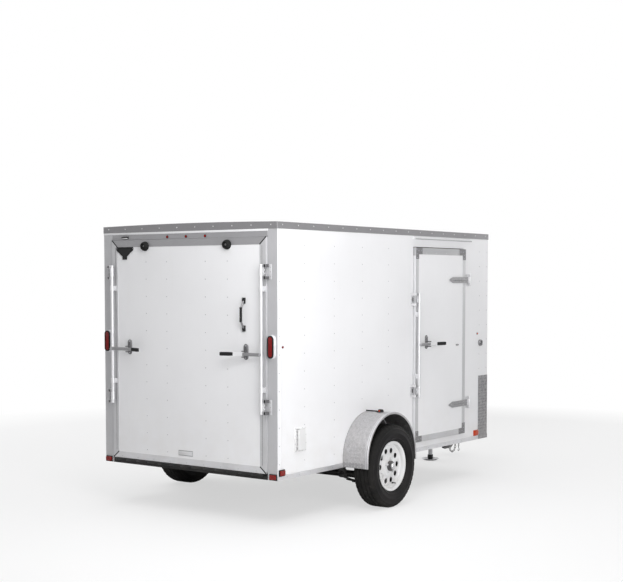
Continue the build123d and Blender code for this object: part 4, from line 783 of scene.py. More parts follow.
def rampScrews():
    lay = screwLayout
    spots = []
    for y in lay["rampColumns"]:
        for row in range(lay["rampRows"]):
            z = lay["rampRowTop"] - row * lay["rampRowPitch"]
            if row != 5 or abs(y) < 0.3:
                spots.append(spot((panelLow.x, y, z), (-1, 0, 0)))
    size = headSize(lay["wallHead"], lay["wallRise"])
    repeatOnSpots("rampScrews", "screw", spots, size, "ramp", "screwZinc")
    edge = []
    leafRail = panelLow.z - leafLow.z
    stile = leafHigh.y - panelHigh.y
    for step in range(9):
        y = -leafHigh.y + 0.1 + step * (2 * leafHigh.y - 0.2) / 8
        edge.append(spot((leafLow.x, y, leafLow.z + leafRail * 0.3), (-1, 0, 0)))
    for side in (-1, 1):
        for step in range(8):
            z = leafLow.z + 0.15 + step * (leafHigh.z - leafLow.z - 0.3) / 7
            edge.append(spot((leafLow.x, side * (leafHigh.y - stile * 0.78), z), (-1, 0, 0)))
    size = headSize(0.004, 0.0018)
    repeatOnSpots("rampFrameScrews", "screw", edge, size, "ramp", "screwZinc")
    return len(spots) + len(edge)


def evenly(low, high, pitch):
    count = max(1, round((high - low) / pitch))
    return [low + (high - low) * step / count for step in range(count + 1)]


def trimScrews():
    lay = screwLayout
    middle = (roofLow.z + roofHigh.z) / 2 - 0.001
    spots = []
    for x in evenly(rearX + 0.06, frontX - 0.06, lay["trimPitch"]):
        for side in (-1, 1):
            spots.append(spot((x, side * roofHigh.y, middle), (0, side, 0)))
    for y in evenly(-halfWidth + 0.06, halfWidth - 0.06, lay["trimPitch"]):
        spots.append(spot((roofLow.x, y, middle), (-1, 0, 0)))
        spots.append(spot((roofHigh.x, y, middle), (1, 0, 0)))
    size = headSize(lay["trimHead"], lay["trimRise"])
    repeatOnSpots("roofTrimScrews", "screw", spots, size, "trailer", "screwWhite")
    footLow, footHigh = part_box("foot_trim")
    foot = []
    footMiddle = (footLow.z + footHigh.z) / 2
    for x in evenly(rearX + 0.12, frontX - 0.05, 0.15):
        for side in (-1, 1):
            foot.append(spot((x, side * footHigh.y, footMiddle), (0, side, 0)))
    for y in evenly(-halfWidth + 0.05, halfWidth - 0.05, 0.15):
        foot.append(spot((footHigh.x, y, footMiddle), (1, 0, 0)))
    repeatOnSpots("footTrimRivets", "rivet", foot, {}, "trailer", "screwZinc", smooth=True)
    return len(spots) + len(foot)


print("body screws:", wallScrews() + rampScrews() + trimScrews())


# Lamps

lampLook = {
    "tailInset": 0.0515, "rimWall": 0.0095, "rimDeep": 0.011, "tailRibs": 9, "tailRibPitch": 0.016,
    "tailRibHalf": Vector((0.001, 0.009, 0.0012)),
    "markerBase": 0.004, "markerEdge": 0.005, "markerInset": 0.006, "markerRibs": 5,
    # distance from the body's corner, height, and the marker's own width and height
    "rearMarker": (0.0425, 0.379, 0.073, 0.048),
    "sideMarker": (0.047, 0.410, 0.071, 0.051),
    "frontMarker": (0.224, 0.421, 0.08, 0.052),
    # distance from the corner and radius
    "redDot": (0.062, 0.01), "amberDot": (0.205, 0.01), "headerDot": (0.2, 0.012),
    "dotZ": 1.368, "dotRise": 0.009,
    "fenderOut": 0.1355, "fenderWide": 0.062, "fenderTall": 0.022, "leadRadius": 0.005, "leadSway": 0.004,
}


def makeTailLamps():
    # bright housing on its base, a black rim and a ribbed lens inside it
    low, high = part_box("tail_lamp_bezels")
    lensLow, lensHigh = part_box("tail_lamps")
    y = halfWidth - lampLook["tailInset"]
    z = (low.z + high.z) / 2
    wide, tall = 2 * (lensHigh.y - y), lensHigh.z - lensLow.z
    steel, out = high.x - low.x, rearX - lensLow.x
    back, rim = out - lampLook["rimDeep"], 2 * lampLook["rimWall"]
    half, count = lampLook["tailRibHalf"], lampLook["tailRibs"]
    shell, lenses = bmesh.new(), bmesh.new()
    for side in (-1, 1):
        place = facing((rearX, side * y, z), -axisX)
        base = [(0, 0), (0, steel * 0.6), (0.004, steel)]
        addOvals(shell, place, 2 * (high.y - y), high.z - low.z, base, 12, 1)
        addOvals(shell, place, wide, tall, [(-0.003, steel * 0.9), (-0.001, back)], 12, 1)
        addOvals(shell, place, wide, tall, [
            (0, back - 0.001), (0, out - 0.004), (0.004, out - 0.001),
            (rim - 0.004, out - 0.001), (rim, out - 0.004), (rim, back - 0.001),
        ], 12, hollow=True)
        dome = [(-0.001, back), (-0.001, out - 0.005), (0.008, out - 0.002), (0.02, out - 0.0008)]
        addOvals(lenses, place, wide - rim, tall - rim, dome, 12)
        for step in range(count):
            lift = (step - (count - 1) / 2) * lampLook["tailRibPitch"]
            rib = Vector((rearX - out + 0.0012, side * y, z + lift))
            addBox(lenses, rib - half, rib + half, 0.0004)
    finishPiece("tailLampShells", shell, "trailer", ("bumperRubber", "brightBacking"),
            ("tail_lamp_bezels",))
    finishPiece("tailLampLenses", lenses, "trailer", ("redLens",), ("tail_lamps",))


def addMarker(mesh, place, width, height, proud):
    # base plate, bevelled lens and its fine ribs; the place's Z points out of the body
    base, count, inset = lampLook["markerBase"], lampLook["markerRibs"], lampLook["markerInset"]
    x, y = width / 2, height / 2
    addBox(mesh, (-x, -y, 0), (x, y, base), 0.001, 2, place)
    lens = ((inset - x, inset - y, base * 0.8), (x - inset, y - inset, proud - 0.001))
    addBox(mesh, *lens, lampLook["markerEdge"], 0, place)
    for step in range(count):
        y = (step - (count - 1) / 2) * (height - 3 * inset) / count
        rib = ((0.014 - x, y - 0.0012, proud - 0.002), (x - 0.014, y + 0.0012, proud - 0.0002))
        addBox(mesh, *rib, 0.0005, 0, place)


def addDot(mesh, place, radius):
    # round lamp in a thin ring
    rise = lampLook["dotRise"]
    out = place.to_3x3() @ axisZ
    addLathe(mesh, place.translation, out, [
        (0, 0), (radius, 0), (radius, rise * 0.3), (radius * 0.86, rise * 0.38), (radius * 0.8, rise * 0.3),
        (0, rise * 0.3),
    ], 20, 1)
    addLathe(mesh, place @ Vector((0, 0, rise * 0.25)), out, [
        (0, 0), (radius * 0.8, 0), (radius * 0.78, rise * 0.45), (radius * 0.6, rise * 0.65),
        (radius * 0.3, rise * 0.74), (0, rise * 0.75),
    ], 20)


def makeMarkers():
    reds, ambers = bmesh.new(), bmesh.new()
    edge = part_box("foot_trim")[1]
    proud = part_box("red_markers")[1].y - edge.y
    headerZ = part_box("rear_header")[0].z + 0.012
    dotZ, dots = lampLook["dotZ"], lampLook["headerDot"]
    for sign in (-1, 1):
        out = Vector((0, sign, 0))
        inset, z, wide, tall = lampLook["rearMarker"]
        addMarker(reds, facing((rearX, sign * (halfWidth - inset), z), -axisX), wide, tall, proud)
        for mesh, look, dot, corner, foot in (
            (reds, "sideMarker", "redDot", rearX, 1), (ambers, "frontMarker", "amberDot", frontX, 2),
        ):
            inset, z, wide, tall = lampLook[look]
            x = corner - math.copysign(inset, corner)
            addMarker(mesh, facing((x, sign * edge.y, z), out), wide, tall, proud)
            dotInset, radius = lampLook[dot]
            dotX = corner - math.copysign(dotInset, corner)
            addDot(mesh, facing((dotX, sign * halfWidth, dotZ), out), radius)
            # filler between the wall and the marker above the foot trim
            start = (x - wide / 2, sign * halfWidth, edge.z)
            addBox(mesh, start, (x + wide / 2, sign * edge.y, z + tall / 2), 0.0005, foot)
    for step in (-1, 0, 1):
        addDot(reds, facing((rearX, step * dots[0], headerZ), -axisX), dots[1])
    finishPiece("redMarkers", reds, "trailer", ("brightRedLens", "blackPlastic", "blackPlastic"),
            ("red_markers",))
    finishPiece("amberMarkers", ambers, "trailer", ("amberLens", "blackPlastic", "amberLens"),
            ("amber_markers",))


def makeFenderLamps():
    # round-shouldered dark body, amber lens at its rear half, and the lead to the wall
    low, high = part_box("fender_lamps")
    look = lampLook
    mesh = bmesh.new()
    x = (low.x + high.x) / 2
    foot = high.z - look["fenderTall"]
    length, wide = high.x - low.x, look["fenderWide"]
    for side in (-1, 1):
        up = moved((x, side * (halfWidth + look["fenderOut"]), foot - 0.003))
        addOvals(mesh, up, length, wide, [(0, 0), (0, 0.006), (0.004, 0.008)], 8)
        crown = [(0, 0.006), (0, 0.017), (0.008, 0.022), (0.024, look["fenderTall"] + 0.002)]
        addOvals(mesh, up @ moved((0.008, 0, 0)), length - 0.02, wide - 0.012, crown, 8)
        lens = up @ moved((0.014 - length / 2, 0, 0))
        addOvals(mesh, lens, 0.015, 0.015, [(0, 0.006), (0, 0.0145), (0.005, 0.017)], 8, 1)
        points = []
        for step in range(9):
            share = step / 8
            y = side * (halfWidth + (look["fenderOut"] - 0.03) * share)
            points.append((x + look["leadSway"] * math.sin(share * 3.0), y, foot + 0.004))
        addSweep(mesh, points, look["leadRadius"], 8)
        grommet = [(0, 0), (0.007, 0), (0.007, 0.003), (0.004, 0.005), (0, 0.005)]
        addLathe(mesh, (x, side * halfWidth, foot + 0.004), (0, side, 0), grommet, 12)
    finishPiece("fenderLamps", mesh, "trailer", ("blackPlastic", "amberLens"),
            ("fender_lamps",))


def makePlateLamp():
    low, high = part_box("plate_lamp")
    mesh = bmesh.new()
    third = (high.z - low.z) / 3
    addBox(mesh, (high.x - 0.004, low.y, low.z), high, 0.0015)
    addBox(mesh, (low.x, low.y + 0.004, high.z - third * 1.6), high - Vector((0, 0.004, 0.002)), 0.003)
    addBox(mesh, low + Vector((0.003, 0.01, 0.004)), high - Vector((0.003, 0.01, third)), 0.002, 1)
    for y in (low.y + 0.005, high.y - 0.005):
        addHead(mesh, (high.x - 0.004, y, high.z - third * 2.6), -axisX, 0.0025, 0.0015, 2)
    finishPiece("plateLamp", mesh, "trailer", ("blackPlastic", "whitePlastic", "screwZinc"),
            ("plate_lamp",))


makeTailLamps()
makeMarkers()
makeFenderLamps()
makePlateLamp()
print("lamps ready")


# Locks, drawn at the bar's axis with the leaf at +X and the lever towards +Y

lockLook = {
    "barRadius": 0.013, "standoff": 0.030, "leverBendAt": 0.171, "leverReach": 0.357, "leverBend": 15.0,
    "leverSteel": 0.008, "leverHeight": 0.026, "gripLength": 0.113, "gripSteel": 0.014, "gripHeight": 0.030,
    "gripRibs": 9, "keeperLong": 0.114, "keeperWide": 0.044, "keeperDeep": 0.046, "keeperPlate": 0.004,
    "keeperLug": 0.023, "camReach": 0.034, "camTall": 0.066, "camThick": 0.012,
    "guideOffset": 0.130, "guideTall": 0.040, "guideFoot": 0.048,
    "haspWide": 0.045, "haspTall": 0.122, "haspDrop": 0.016,
    "barInset": 0.0255, "doorBarInset": 0.015,
}


def addBar(mesh, low, high):
    # bar, cams and guides
    lock = lockLook
    radius, standoff = lock["barRadius"], lock["standoff"]
    addRod(mesh, (0, 0, low), (0, 0, high), radius, 0.002)
    half = lock["keeperLong"] / 2
    ends = ((low + half, 1), (high - half, -1))
    for z, inward in ends:
        thick, tall, reach = lock["camThick"] / 2, lock["camTall"] / 2, lock["camReach"]
        outline = [(0, -tall), (-reach * 0.62, -tall), (-reach, -tall * 0.62), (-reach, -tall * 0.2)]
        outline += [(-reach * 0.72, -tall * 0.2), (-reach * 0.72, tall * 0.2), (-reach, tall * 0.2)]
        outline += [(-reach, tall * 0.62), (-reach * 0.62, tall), (0, tall)]
        place = Matrix(((0, 0, 1, -thick), (1, 0, 0, 0), (0, 1, 0, z), (0, 0, 0, 1)))
        addPlate(mesh, outline, place, 2 * thick, 0.0015, 6)
        addRod(mesh, (0, 0, z - tall), (0, 0, z + tall), radius + 0.003, 0.001)
        guideZ = z + inward * lock["guideOffset"]
        tall = lock["guideTall"] / 2
        foot = lock["guideFoot"] / 2
        addRod(mesh, (0, 0, guideZ - tall), (0, 0, guideZ + tall), radius + 0.004, 0.001)
        collar = radius + 0.004
        addBox(mesh, (0, -collar, guideZ - tall), (standoff, collar, guideZ + tall), 0.001)
        addBox(mesh, (standoff - 0.004, -foot, guideZ - tall), (standoff, foot, guideZ + tall), 0.001)
        for side in (-1, 1):
            for lift in (-0.6, 0.6):
                place = (standoff - 0.004, side * (foot - 0.0035), guideZ + lift * tall)
                addHead(mesh, place, -axisX, 0.003, 0.002, 3)


def addLever(mesh, z):
    # flat bar that bends outwards, with its pivot bolt and its ribbed black grip
    lock = lockLook
    radius, steel, tall = lock["barRadius"], lock["leverSteel"], lock["leverHeight"]
    slope = math.radians(lock["leverBend"])
    bendAt = lock["leverBendAt"]
    length = (lock["leverReach"] - bendAt) / math.cos(slope)
    end = length - lock["gripLength"]
    out = Vector((-math.sin(slope), math.cos(slope)))
    square = Vector((-math.cos(slope), -math.sin(slope)))
    root = Vector((-radius, bendAt))
    tip = root + out * (end + 0.004)
    shift = steel / 2
    flat = [(-radius + shift, 0), (-radius + shift, bendAt + 0.001), (-radius - shift, bendAt - 0.001)]
    flat.append((-radius - shift, 0))
    bent = [(-radius + shift, bendAt + 0.001), tuple(tip - square * shift), tuple(tip + square * shift)]
    bent.append((-radius - shift, bendAt - 0.001))
    for outline, number in ((flat, 5), (bent, 1)):
        addPlate(mesh, outline, moved((0, 0, z - tall / 2)), tall, 0.0012, number)
    addLathe(mesh, (-radius - shift, 0, z), -axisX, [
        (0, -0.004), (0.012, -0.004), (0.012, 0.0015), (0.009, 0.002), (0.0085, 0.006), (0, 0.006),
    ], 16, 3)
    turn = moved((-radius, bendAt, z)) @ Matrix.Rotation(slope, 4, "Z")
    half, high, rise = lock["gripSteel"] / 2, lock["gripHeight"] / 2, 0.0015
    addBox(mesh, (rise - half, end, rise - high), (half - rise, length, high - rise), 0.004, 4, turn)
    count = lock["gripRibs"]
    for step in range(count):
        y = end + 0.016 + step * (lock["gripLength"] - 0.028) / (count - 1)
        addBox(mesh, (-half, y - 0.0035, -high), (half, y + 0.0035, high), 0.003, 4, turn)


def addHasp(mesh, z, inset):
    # oval plate with two bolts and the staple round the lever
    lock = lockLook
    y = lock["leverBendAt"]
    seat = lock["standoff"] + inset
    steel = inset + lock["keeperPlate"]
    place = facing((seat, y, z + lock["haspDrop"]), -axisX)
    wide, tall, half = lock["haspWide"], lock["haspTall"], 0.0045
    addOvals(mesh, place, wide, tall, [(0, 0), (0, steel * 0.6), (0.004, steel)], 10, 2)
    addOvals(mesh, place, wide, tall, [(0.014, steel * 0.9), (0.018, steel + 0.0015)], 10, 2)
    reach = -lock["barRadius"] - lock["leverSteel"] + 0.0005
    for side in (-1, 1):
        earZ = z + side * (lock["leverHeight"] / 2 + 0.009)
        addBox(mesh, (reach, y - half, earZ - half), (seat - steel, y + half, earZ + half), 0.0015, 2)
        boltZ = z + lock["haspDrop"] + side * (tall / 2 - 0.014)
        addHead(mesh, (seat - steel, y, boltZ), -axisX, 0.0065, 0.0045, 3)


def makeLock(name, body, low, high, leverZ, inset, place, replaced):
    mesh = bmesh.new()
    addBar(mesh, low, high)
    addLever(mesh, leverZ)
    addHasp(mesh, leverZ, inset)
    mesh.transform(place)
    # painted shade: the left ramp lock's bent lever and cams are dark grey, where the right lock's are
    # light zinc
    bent = "strapGrey" if name == "rampLockLeft" else "barZinc"
    looks = ("barZinc", bent, "lockGrey", "screwZinc", "blackPlastic", "strapGrey", bent)
    finishPiece(name, mesh, body, looks, replaced)


def addKeeper(mesh, place, base, lugs):
    # base plate, two C-shaped lugs and three screws; drawn on X = 0 with the bar on the +Y side
    lock = lockLook
    wide, long, deep = lock["keeperWide"] / 2, lock["keeperLong"] / 2, lock["keeperDeep"]
    plate, lug = lock["keeperPlate"], lock["keeperLug"]
    known = bmesh.new()
    addBox(known, (-plate, -wide, -long), (0, wide, long), 0.0012, base)
    inner = -plate * 0.8
    if base == lugs:
        addBox(known, (-plate - 0.001, wide * 0.1, -long * 0.32), (inner, wide, long * 0.32), 0.0004, 1)
    outline = [(inner, 0), (-deep * 0.7, 0), (-deep, wide * 0.25), (-deep, wide), (-deep * 0.86, wide)]
    outline += [(-deep * 0.82, wide * 0.62), (-deep * 0.62, wide * 0.45), (inner, wide * 0.45)]
    for z in (-long, long - lug):
        addPlate(known, outline, moved((0, 0, z)), lug, 0.001, lugs)
        addBox(known, (-deep, wide * 0.3, z), (inner, wide, z + lug), 0.0012, lugs)
    for z in (-long * 0.6, 0, long * 0.6):
        addHead(known, (-plate, -wide * 0.55, z), -axisX, 0.0045, 0.003, 2)
    known.transform(place)
    data = bpy.data.meshes.new("keeper")
    known.to_mesh(data)
    known.free()
    mesh.from_mesh(data)
    bpy.data.meshes.remove(data)


def makeKeepers(ends, doorEnds):
    lock = lockLook
    mesh = bmesh.new()
    half = lock["keeperLong"] / 2
    y = leafHigh.y + 0.005 + lock["keeperWide"] / 2
    for z in (ends[0] + half, ends[1] - half):
        for side in (-1, 1):
            place = moved((rearX, side * y, z)) @ Matrix.Diagonal((1, -side, 1, 1))
            # painted light and shade: the same keepers get a light plate with dark lugs on the right and a
            # dark plate with light lugs on the left
            addKeeper(mesh, place, 0 if side < 0 else 3, 1 if side < 0 else 5)
    x = doorLow.x - 0.006 - 0.001 - lock["keeperWide"] / 2
    for z in (doorEnds[0] + half, doorEnds[1] - half):
        place = moved((x, -halfWidth, z)) @ Matrix.Rotation(math.pi / 2, 4, "Z")
        addKeeper(mesh, place @ Matrix.Diagonal((1, -1, 1, 1)), 4, 4)
    looks = ("barZinc", "lockGrey", "screwZinc", "strapGrey", "buttZinc", "whiteTrim")
    finishPiece("lockKeepers", mesh, "trailer", looks, ("lock_keepers",))


def makeLocks():
    lock = lockLook
    low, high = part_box("ramp_locks")
    ends = (low.z, high.z)
    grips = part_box("ramp_grips")
    leverZ = (grips[0].z + grips[1].z) / 2
    inset = panelLow.x - leafLow.x
    x = leafLow.x - lock["standoff"]
    y = leafHigh.y - lock["barInset"]
    for side, name in ((-1, "rampLockRight"), (1, "rampLockLeft")):
        place = moved((x, side * y, 0)) @ Matrix.Diagonal((1, -side, 1, 1))
        replaced = ("ramp_locks", "ramp_grips") if side < 0 else ()
        makeLock(name, "ramp", *ends, leverZ, inset, place, replaced)
    doorLockLow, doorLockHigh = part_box("side_door_lock")
    doorEnds = (doorLockLow.z, doorLockHigh.z)
    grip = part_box("side_door_grip")
    leverZ = (grip[0].z + grip[1].z) / 2
    inset = doorPanelLow.y - doorLow.y
    place = moved((doorLow.x + lock["doorBarInset"], doorLow.y - lock["standoff"], 0))
    place = place @ Matrix.Rotation(math.pi / 2, 4, "Z") @ Matrix.Diagonal((1, -1, 1, 1))
    replaced = ("side_door_lock", "side_door_grip")
    makeLock("sideDoorLock", "side_door", *doorEnds, leverZ, inset, place, replaced)
    makeKeepers(ends, doorEnds)


def makeHoldback():
    # cup on the wall, and the clip on the door that it catches
    low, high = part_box("door_holdback")
    middle = (low + high) / 2
    radius = (high.x - low.x) / 2
    deep = high.y - low.y
    cup = bmesh.new()
    addLathe(cup, (middle.x, high.y, middle.z), -axisY, [
        (radius * 0.6, 0), (radius, 0), (radius, deep * 0.7), (radius * 0.9, deep), (radius * 0.74, deep),
        (radius * 0.68, deep * 0.8), (radius * 0.6, deep * 0.5),
    ], 28, 2, closed=True)
    addLathe(cup, (middle.x, high.y, middle.z), -axisY, [
        (0, 0), (radius * 0.62, 0), (radius * 0.62, deep * 0.5), (0, deep * 0.5),
    ], 28)
    addHead(cup, (middle.x, high.y - deep * 0.5, middle.z), -axisY, 0.005, 0.003, 1)
    finishPiece("holdbackCup", cup, "trailer", ("blackPlastic", "screwZinc", "strapGrey"),
            ("door_holdback",))
    clip = bmesh.new()
    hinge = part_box("side_hinge_butts")
    x = hinge[0].x + 0.024 - 0.217
    place = facing((x, doorPanelLow.y, middle.z), -axisY)
    addOvals(clip, place, 0.05, 0.015, [(0, 0), (0, 0.0025), (0.003, 0.004)], 8)
    addOvals(clip, place, 0.034, 0.011, [(0, 0.003), (0, 0.0095), (0.006, 0.005, 0.012)], 8)
    finishPiece("holdbackClip", clip, "side_door", ("castCorner",))


makeLocks()
makeHoldback()
print("locks ready")


# Things on the ramp: bumpers, pull, badge plate

rampLook = {
    "badgeWide": 0.154, "badgeTall": 0.045, "badgeZ": 0.4925, "badgeSteel": 0.0012,
    "pullBar": 0.008, "pullGrip": 0.0105, "pullBend": 0.058, "pullFoot": 0.046, "pullFootDeep": 0.014,
    "grooveShare": 0.62, "gapProud": 0.0007, "gapWide": 0.009,
}


def makeBumpers():
    low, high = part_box("ramp_bumpers")
    radius = (high.z - low.z) / 2
    z = (low.z + high.z) / 2
    tall = high.x - low.x
    mesh = bmesh.new()
    for side in (-1, 1):
        centre = (high.x, side * (high.y - radius), z)
        addLathe(mesh, centre, -axisX, [
            (0, 0), (radius, 0), (radius, tall * 0.16), (radius * 0.94, tall * 0.3),
            (radius * 0.9, tall * 0.62), (radius * 0.78, tall * 0.86), (radius * 0.62, tall),
            (radius * 0.5, tall), (radius * 0.44, tall * 0.9), (radius * 0.42, tall * 0.6),
            (0, tall * 0.58),
        ], 32)
        addLathe(mesh, centre, -axisX, [
            (radius * 0.9, tall * 0.34), (radius * 0.955, tall * 0.38), (radius * 0.9, tall * 0.44),
        ], 32, 1, closed=True)
        addHead(mesh, Vector(centre) - axisX * tall * 0.58, -axisX, radius * 0.24, 0.005, 2)
    finishPiece("rampBumpers", mesh, "ramp", ("bumperRubber", "blackPlastic", "lockGrey"),
            ("ramp_bumpers",))


def makePull():
    # grey bent legs with black feet and a black grip between them
    low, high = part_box("ramp_pull")
    y = (low.y + high.y) / 2
    foot, deep, bend = 0.014, rampLook["pullFootDeep"], rampLook["pullBend"]
    face = high.x
    out = low.x + rampLook["pullGrip"]
    lowZ, highZ = low.z + foot, high.z - foot
    mesh = bmesh.new()
    for z, inward in ((lowZ, 1), (highZ, -1)):
        bar = [(face - 0.003, 0.012), (face - 0.013, 0.018), (out + 0.014, bend - 0.012)]
        bar += [(out + 0.004, bend - 0.001), (out, bend + 0.014), (out, bend + 0.03)]
        points = [(x, y, z + inward * lift) for x, lift in bar]
        addSweep(mesh, points, rampLook["pullBar"], 14, 0 if inward < 0 else 2)
        place = facing((face, y, z + inward * (rampLook["pullFoot"] / 2 - foot)), -axisX)
        outline = roundedOutline(high.y - low.y - 0.004, rampLook["pullFoot"], 0.003)
        addPlate(mesh, outline, place, deep, 0.002, 1)
        for lift in (-0.006, 0.016):
            addHead(mesh, (face - deep, y + 0.0085, z + inward * lift), -axisX, 0.003, 0.0016, 3)
    long = highZ - lowZ - 2 * bend
    grip = [(rampLook["pullGrip"] * (1.0 if step % 2 else 0.93), long * step / 12) for step in range(13)]
    addLathe(mesh, (out, y, lowZ + bend), axisZ, [(0, 0)] + grip + [(0, long)], 18, 1)
    looks = ("strapGrey", "blackPlastic", "castCorner", "screwZinc")
    finishPiece("rampPull", mesh, "ramp", looks, ("ramp_pull",))


def makeBadgePlate():
    # bare plate with a raised border
    look = rampLook
    mesh = bmesh.new()
    place = facing((panelLow.x, 0.01, look["badgeZ"]), -axisX)
    wide, tall, steel = look["badgeWide"], look["badgeTall"], look["badgeSteel"]
    addPlate(mesh, roundedOutline(wide, tall, 0.004), place, steel, 0.0004)
    rim, rise = place @ moved((0, 0, steel * 0.7)), 0.0008
    reach, lift = wide / 2 - 0.001, tall / 2 - 0.003
    for sign in (-1, 1):
        x, y = sign * (wide / 2 - 0.003), sign * (tall / 2 - 0.004)
        addBox(mesh, (-reach, y - 0.0025, 0), (reach, y + 0.0025, rise), 0.0003, 2, rim)
        addBox(mesh, (x - 0.0015, -lift, 0), (x + 0.0015, lift, rise), 0.0003, 2, rim)
        addHead(mesh, place @ Vector((sign * (wide / 2 - 0.009), 0, steel)), -axisX, 0.003, 0.0012, 1)
    finishPiece("badgePlate", mesh, "ramp", ("screwWhite", "screwZinc", "castCorner"))


def makeTrimStrip():
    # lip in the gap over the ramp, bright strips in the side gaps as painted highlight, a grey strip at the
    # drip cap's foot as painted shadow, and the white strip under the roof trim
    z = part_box("rear_header")[0].z
    lip = bmesh.new()
    addBox(lip, (rearX - 0.003, -leafHigh.y, z - 0.0058), (rearX + 0.012, leafHigh.y, z + 0.001), 0.0008)
    # bright strips in the side gaps: painted highlight of the leaf's lit edges
    for side in (-1, 1):
        near, far = sorted((side * (leafHigh.y + 0.0008), side * (leafHigh.y + 0.0045)))
        addBox(lip, (rearX - 0.002, near, leafLow.z + 0.02), (rearX + 0.012, far, leafHigh.z), 0.0004, 1)
    # grey strip at the drip cap's foot: painted shadow under the cap
    low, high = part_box("drip_cap")
    addBox(lip, low - Vector((0, 0.0006, 0)), (high.x, low.y + 0.001, low.z + 0.009), 0, 2)
    finishPiece("lipsWithPaintedHighlightAndShadow", lip, "trailer", ("headerGrey", "barZinc", "doorEdge"))
    strip = bmesh.new()
    start = (rearX - 0.0028, 0.09 - halfWidth, roofLow.z - 0.016)
    addBox(strip, start, (rearX, halfWidth, roofLow.z + 0.001), 0.0006)
    finishPiece("rearTrimStrip", strip, "trailer", ("whiteTrim",))


def makeVents():
    # flange with screws, hood that slopes to the front, and slots at its rear
    low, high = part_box("side_vents")
    mesh = bmesh.new()
    margin, flange, shelf, edge = 0.014, 0.004, 0.024, 0.004
    proud = high.y - halfWidth
    rear, front = low.x + margin, high.x - margin
    middleX = (low.x + high.x) / 2
    middleZ = (low.z + high.z) / 2
    wide, tall = high.x - low.x, high.z - low.z
    for side in (-1, 1):
        place = facing((middleX, side * halfWidth, middleZ), (0, side, 0))
        addPlate(mesh, roundedOutline(wide, tall, 0.01), place, flange, 0.0015)
        bottom, top = low.z + margin, high.z - margin
        outline = [(rear, flange), (rear, proud - edge), (rear + edge, proud), (rear + shelf, proud)]
        outline += [(front - edge, flange + 0.0012), (front, flange)]
        skin = 0.0022
        for z in (bottom, top - skin):
            cheek = [(x, side * (halfWidth + y)) for x, y in outline]
            addPlate(mesh, cheek, moved((0, 0, z)), skin)
        for start, end in zip(outline[2:], outline[3:]):
            along = Vector(end) - Vector(start)
            across = Vector((along.y, -along.x)).normalized() * skin
            strip = [Vector(start), Vector(end), Vector(end) + across, Vector(start) + across]
            addPlate(mesh, [(p.x, side * (halfWidth + p.y)) for p in strip],
                    moved((0, 0, bottom)), top - bottom)
        count, inner = 5, side * (halfWidth + flange * 0.8)
        pitch = (top - bottom) / count
        for step in range(count + 1):
            z = min(max(bottom + step * pitch, bottom + 0.003), top - 0.003)
            addBox(mesh, (rear, inner, z - 0.003),
                   (rear + shelf + 0.004, side * (halfWidth + proud - 0.001), z + 0.003), 0.0008)
        addBox(mesh, (rear + 0.02, inner, bottom + 0.002),
               (rear + 0.0225, side * (halfWidth + proud - 0.002), top - 0.002))
        heads = []
        for step in range(4):
            x = low.x + 0.012 + step * (wide - 0.024) / 3
            heads += [(x, low.z + 0.007), (x, high.z - 0.007)]
        for z in (low.z + tall / 3, low.z + tall * 2 / 3):
            heads += [(low.x + 0.007, z), (high.x - 0.007, z)]
        for x, z in heads:
            addHead(mesh, (x, side * (halfWidth + flange), z), (0, side, 0), 0.0032, 0.0018, 2)
    finishPiece("sideVents", mesh, "trailer", ("whitePlastic", "whitePlastic", "screwZinc"),
            ("side_vents",))


makeBumpers()
makePull()
makeBadgePlate()
makeTrimStrip()
makeVents()
print("ramp things and vents ready")


# Running gear

wheelLook = {
    "treadSteps": 192, "blockSteps": 4, "treadRadius": 0.344, "sideDeep": 0.0045,
    "grooves": (0.020, 0.056), "grooveDeep": 0.007, "grooveHalf": 0.0034,
    "rimSides": 64, "holeCount": 10, "holeRadius": 0.0235, "holeCircle": 0.127, "holeSides": 20,
    "discDepth": 0.040, "discSteel": 0.0035, "dish": 0.014, "centreHole": 0.042, "boss": 0.084,
    "lugCount": 5, "lugCircle": 0.05715,
}


